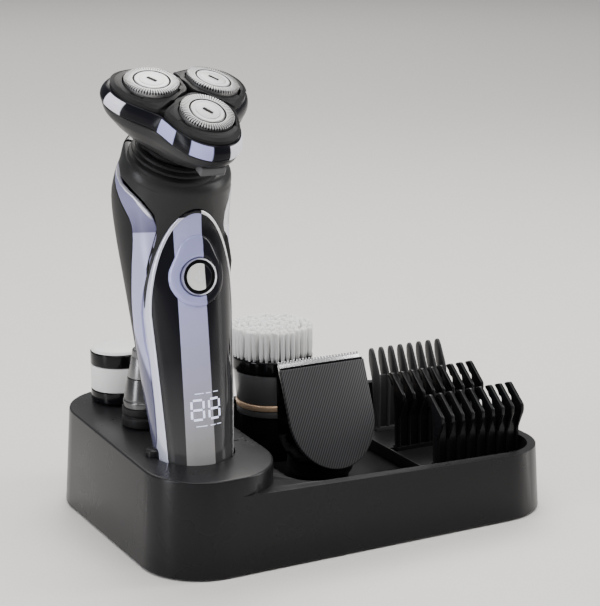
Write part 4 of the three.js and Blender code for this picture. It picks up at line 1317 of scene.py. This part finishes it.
foilShape = {"slots": 60, "rib": 0.46, "lift": 0.1, "slotTurns": [40, 100, 150]}
for number, degrees in enumerate(headShape["angles"], 1):
    turn = math.radians(degrees)
    lean = (Matrix.Translation((headShape["circle"] * math.cos(turn), headShape["circle"] * math.sin(turn),
        foilShape["lift"]))
            @ Matrix.Rotation(turn, 4, "Z") @ Matrix.Rotation(math.radians(headShape["tilt"]), 4, "Y"))
    cup = lathe("cup", [(0, -0.95), (8.35, -0.95), (8.35, -3.6), (9.3, -3.6), (9.3, -0.95), (8.8, -0.6),
        (6.0, -0.6), (6.0, -0.06),
                        (5.6, 0.06), (4.4, 0.0), (4.15, 0.09), (2.2, 0.14), (0, 0.16)], 72, 0.16)
    inner = lathe("inner", [(6.6, -0.62), (6.95, -0.62), (6.95, 0.0), (6.6, 0.0)], 72, 0.08)
    parts = [cup, inner]
    rib = block((6.8, -foilShape["rib"] / 2, -0.7), (9.34, foilShape["rib"] / 2, 0.0))
    selectEdges(rib, lambda a, b: min(a.x, b.x) > 9.2 and min(a.z, b.z) > -0.1)
    bpy.ops.mesh.bevel(offset=0.5, segments=2, affect="EDGES")
    leaveEdit()
    skirt = block((9.05, -foilShape["rib"] / 2, -3.2), (9.46, foilShape["rib"] / 2, -0.4))
    for k in range(foilShape["slots"]):
        around = Matrix.Rotation(2 * math.pi * k / foilShape["slots"], 4, "Z")
        parts += [twin(rib, around), twin(skirt, around)]
    bpy.data.objects.remove(rib)
    bpy.data.objects.remove(skirt)
    foil = joined("foil", parts)
    foil.data.transform(lean)
    settled(foil, "cutter_foil_" + str(number), headFrame, "cutter_" + str(number), ["cutter_cap_" + str(number)],
        foilSteel, "steel", 30)
    # a black ring and bar under each foil: painted shadow seen through its slots and its centre slot
    paintedShadowRing = lathe("paintedShadowRing", [(6.05, -0.66), (8.9, -0.66), (9.28, -1.0), (9.36, -1.0), (9.36, -0.8),
        (8.85, -0.3), (6.05, -0.3)], 72, 0.05)
    paintedSlotShadow = block((-1.9, -0.52, -0.3), (1.9, 0.52, 0.32))
    paintedSlotShadow.data.transform(Matrix.Rotation(math.radians(foilShape["slotTurns"][number - 1]), 4, "Z"))
    under = joined("under", [paintedShadowRing, paintedSlotShadow])
    under.data.transform(lean)
    settled(under, "cutter_shadow_" + str(number), headFrame, "cutter_" + str(number), [], slotBlack, "steel", 30)
print("shaving head is built")

# ---- nose trimmer and detail head on the platform

turned("trimmer_base", [(4.6, 0), (9, 0), (9, 3.2), (8.3, 3.7), (8.3, 4.0), (8.75, 4.4), (8.75, 7), (4.6, 7)], 72,
    0.35, trimmerFrame, "nose_trimmer", ["trimmer_collar"], softRubber, "rubber")
turned("trimmer_cone", [(4, 7.2), (8.5, 7.2), (8.35, 9.4), (8.0, 9.7), (8.1, 10.1), (6.6, 18), (4, 18)], 72, 0.25,
    trimmerFrame, "nose_trimmer", ["trimmer_body"], gunmetal, "shell")
tip = lathe("trimmer_nose", [(3.2, 18.2), (6.5, 18.2), (5.0, 25.6), (4.75, 26.0), (4.6, 28.4), (4.1, 29),
    (3.2, 29)], 72, 0.3)
nose = [tip]
bar = block((-4.0, -0.22, 28.2), (4.0, 0.22, 28.95))
softEdges(bar, 0.1, 1)
nose += [twin(bar, Matrix.Rotation(math.pi * k / 5, 4, "Z")) for k in range(5)]
bpy.data.objects.remove(bar)
settled(joined("trimmer_nose", nose), "trimmer_nose", trimmerFrame, "nose_trimmer", ["trimmer_tip"], paleMetal,
    "steel")

turned("detail_band_low", [(5.6, 0), (10.9, 0), (11, 0.6), (11, 4.3), (5.6, 4.3)], 84, 0.3, detailFrame,
    "detail_head", ["cap_band_lower"], pianoBlack, "gloss")
turned("detail_band_high", [(9.8, 14.55), (11.05, 14.55), (11.05, 19.35), (9.8, 19.35)], 84, 0.3, detailFrame,
    "detail_head", ["cap_band_upper"], pianoBlack, "gloss")
turned("detail_drum", [(5.6, 4.6), (11, 4.6), (11, 14.3), (9.6, 14.3), (9.6, 19.6), (10.9, 19.6), (9.9, 20.7),
    (6, 21.5), (0, 21.8), (0, 12), (5.6, 12)], 84, 0.5, detailFrame, "detail_head", ["cap_body"], satinWhite,
    "white")

# ---- brush

brushShape = {"reach": 15.2, "tuft": 1.0, "pitch": 2.3, "foot": 22.8, "top": 35.2}
turned("brush_foot", [(4.6, 0), (14.1, 0), (14.1, 2.4), (13, 2.4), (13, 5.3), (14.2, 5.3), (15.3, 17.2), (6, 17.2),
    (6, 9), (4.6, 9)], 96, 0.3, brushFrame, "brush", ["brush_coupling"], footMetal, "steel")
turned("brush_gold", [(13.2, 2.7), (14.35, 2.7), (14.45, 3.8), (14.35, 5), (13.2, 5)], 96, 0.3, brushFrame, "brush",
    ["brush_gold_ring"], goldRing, "gold")
turned("brush_holder", [(0, 17.5), (15.8, 17.5), (16.1, 18.4), (16.1, 22.6), (15.6, 23.2), (0, 23.2)], 96, 0.4,
    brushFrame, "brush_head", ["brush_ring"], pianoBlack, "gloss")
s = brushShape
tuft = lathe("tuft", [(0, s["foot"]), (0.55, s["foot"] + 0.2), (s["tuft"] * 0.95, s["foot"] + 2.6),
    (s["tuft"], s["top"] - 1.2), (s["tuft"] * 0.86, s["top"] - 0.35), (0, s["top"])], 9, 0.0, closed=False)
tufts = []
rings = int(s["reach"] / s["pitch"]) + 1
for ring in range(rings):
    reach = s["reach"] - ring * s["pitch"]
    count = max(1, round(2 * math.pi * reach / (s["pitch"] * 0.96))) if reach > 1 else 1
    for k in range(count):
        angle = 2 * math.pi * (k + 0.37 * ring) / count
        rise = 1 + random.uniform(-0.012, 0.012)
        lean = Matrix.Rotation(random.uniform(-0.014, 0.014), 4,
            "X") @ Matrix.Rotation(random.uniform(-0.014, 0.014), 4, "Y")
        up = Matrix.Translation((reach * math.cos(angle), reach * math.sin(angle),
            0)) @ lean @ Matrix.Rotation(random.uniform(0, 6), 4, "Z")
        tufts.append(twin(tuft, up @ Matrix.Diagonal((1, 1, rise, 1))))
bpy.data.objects.remove(tuft)
settled(joined("brush_tufts", tufts), "brush_tufts", brushFrame, "brush_head", ["brush_bristles"], bristleWhite,
    "white", 60)
print("brush has", len(tufts), "tufts")

# ---- clipper head

clipperShape = {"width": 36, "height": 40, "blade": 34.5, "teeth": 27}


def shieldOutline(inset, steps=40):
    s = clipperShape
    half, bend = s["width"] / 2 - inset, s["width"] / 2 + 2
    points = [(half, s["height"] - inset), (-half, s["height"] - inset)]
    turns = [math.pi + math.pi * k / steps for k in range(steps + 1)]
    return points + [(half * math.cos(a), bend + (bend - inset) * math.sin(a)) for a in turns]


def sideways(x):
    # stands a slab's (y, z) outline up, growing towards +X from x
    return Matrix(((0, 0, 1, x), (1, 0, 0, 0), (0, 1, 0, 0), (0, 0, 0, 1)))


upright = Matrix.Rotation(math.pi / 2, 4, "X")
cover = slab("cover", shieldOutline(0), 1.8, 0.45, 3)
cover.data.transform(Matrix.Translation((0, 1.8, 0)) @ upright)
settled(cover, "clipper_shield", clipperFrame, "clipper", ["clipper_cover"], coverPlastic, "shell", 35)
wedgeSide = [(2.1, 0.5), (13, 3), (13, 16), (7, 34), (5.2, 38.5), (5.2, 31), (2.1, 31)]
wedge = slab("wedge", wedgeSide, 60, 0)
wedge.data.transform(sideways(-30))
weld(wedge)
outlineBody = slab("outline", shieldOutline(0.5), 31, 0)
outlineBody.data.transform(Matrix.Translation((0, 30, 0)) @ upright)
weld(outlineBody)
carved(wedge, outlineBody, "INTERSECT")
seat = disc(0, 0, 0, 26.3, 13, 64)
seat.data.transform(clipperFrame.inverted() @ clipperFootFrame @ Matrix.Translation((0, 0, -16)))
carved(wedge, seat)
applied(wedge, "DECIMATE", decimate_type="DISSOLVE", angle_limit=math.radians(1))
softEdges(wedge, 0.5, 3, 40)
settled(wedge, "clipper_body", clipperFrame, "clipper", ["clipper_housing"], pianoBlack, "rubber", 40)


def toothedBlade(half, low, high, back, front, teeth, depth):
    # a plate with tapered teeth along its top edge
    plate = block((-half, back, low), (half, front, high - depth))
    softEdges(plate, 0.12, 2)
    tooth = block((-0.42, back + 0.05, high - depth - 0.6), (0.42, front - 0.05, high))
    for vertex in tooth.data.vertices:
        if vertex.co.z > high - 0.1:
            vertex.co.x *= 0.5
            vertex.co.y = (back + front) / 2 + (vertex.co.y - (back + front) / 2) * 0.5
    softEdges(tooth, 0.1, 1)
    pitch = (2 * half - 0.84) / (teeth - 1)
    parts = [plate] + [twin(tooth, Matrix.Translation((-half + 0.42 + k * pitch, 0, 0))) for k in range(teeth)]
    bpy.data.objects.remove(tooth)
    return joined("blade", parts)


s = clipperShape
fixed = toothedBlade(s["blade"] / 2, s["height"] - 8, s["height"] + 3.4, 2.1, 3.2, s["teeth"], 1.3)
settled(fixed, "clipper_comb_blade", clipperFrame, "clipper", ["clipper_fixed_blade"], bladeSteel, "steel", 30)
moving = toothedBlade(s["blade"] / 2 - 1.6, s["height"] - 8, s["height"] + 2.8, 3.5, 4.6, s["teeth"] - 2, 1.3)
settled(moving, "clipper_stroke_blade", clipperFrame, "clipper_blade", ["clipper_moving_blade"], bladeSteel,
    "steel", 30)
lip = block((-s["blade"] / 2 - 0.2, 0.15, s["height"] - 0.55), (s["blade"] / 2 + 0.2, 2.05, s["height"] + 0.8))
softEdges(lip, 0.2, 2)
settled(lip, "clipper_lip", clipperFrame, "clipper", [], pianoBlack, "rubber", 35)
print("clipper head is built")

# ---- guide combs

combShapes = [
    {"name": "comb_short", "x": 57.2, "y": -28, "span": 38, "teeth": 9, "top": 45.5, "rounded": False},
    {"name": "comb_medium", "x": 55.3, "y": -3, "span": 38, "teeth": 9, "top": 48, "rounded": False},
    {"name": "comb_long", "x": 58.2, "y": 22, "span": 33, "teeth": 8, "top": 51.3, "rounded": True}]
combFoot = 15.6
for comb in combShapes:
    top, wallTop = comb["top"], comb["top"] - 10
    if comb["rounded"]:
        side = [(-9.6, combFoot + 1), (-9.9, top - 13), (-8.9, top - 9), (-4.4, top - 0.6), (-2.6, top + 0.4),
            (-1.2, top - 1.4), (-1.6, top - 6), (-4.8, wallTop - 4), (-6.6, combFoot + 1)]
        side = rounded(side, 1.8, 5, closed=True)
    else:
        side = [(-9.6, combFoot + 1), (-9.2, top - 16), (-12.4, top - 9), (-12.3, top - 6.4), (-3.4, top + 0.5),
            (-0.2, top - 0.7), (-0.4, top - 1.5), (-2.2, top - 2.6),
                (-3.2, top - 4.4), (-4.9, top - 4.7), (-6, wallTop - 4), (-6.6, combFoot + 1)]
        side = rounded(side, 0.9, 3, closed=True)
    thickness, pitch = 1.3, (comb["span"] - 1.6) / (comb["teeth"] - 1)
    tooth = slab("tooth", side, thickness, 0.28, 2)
    tooth.data.transform(sideways(0.15))
    weld(tooth)
    left = comb["x"] - comb["span"] / 2
    parts = [twin(tooth, Matrix.Translation((left + k * pitch, comb["y"], 0))) for k in range(comb["teeth"])]
    bpy.data.objects.remove(tooth)
    right = comb["x"] + comb["span"] / 2
    wall = block((left + 0.2, comb["y"] - 8.6, combFoot + 1), (right - 0.2, comb["y"] - 7.2, wallTop))
    foot = block((left, comb["y"] - 9.8, combFoot), (right, comb["y"] - 5.7, combFoot + 4))
    for part in (wall, foot):
        softEdges(part, 0.35, 2)
        parts.append(part)
    piece = joined(comb["name"] + "_guide", parts)
    piece.data.transform(Matrix.Translation((standShape["shift"], 0, 0)))
    settled(piece, comb["name"] + "_guide", standFrame, comb["name"], [comb["name"]],
        combGrey if comb["rounded"] else combBlack, "rubber", 30)
print("combs are built")

clearSelection()
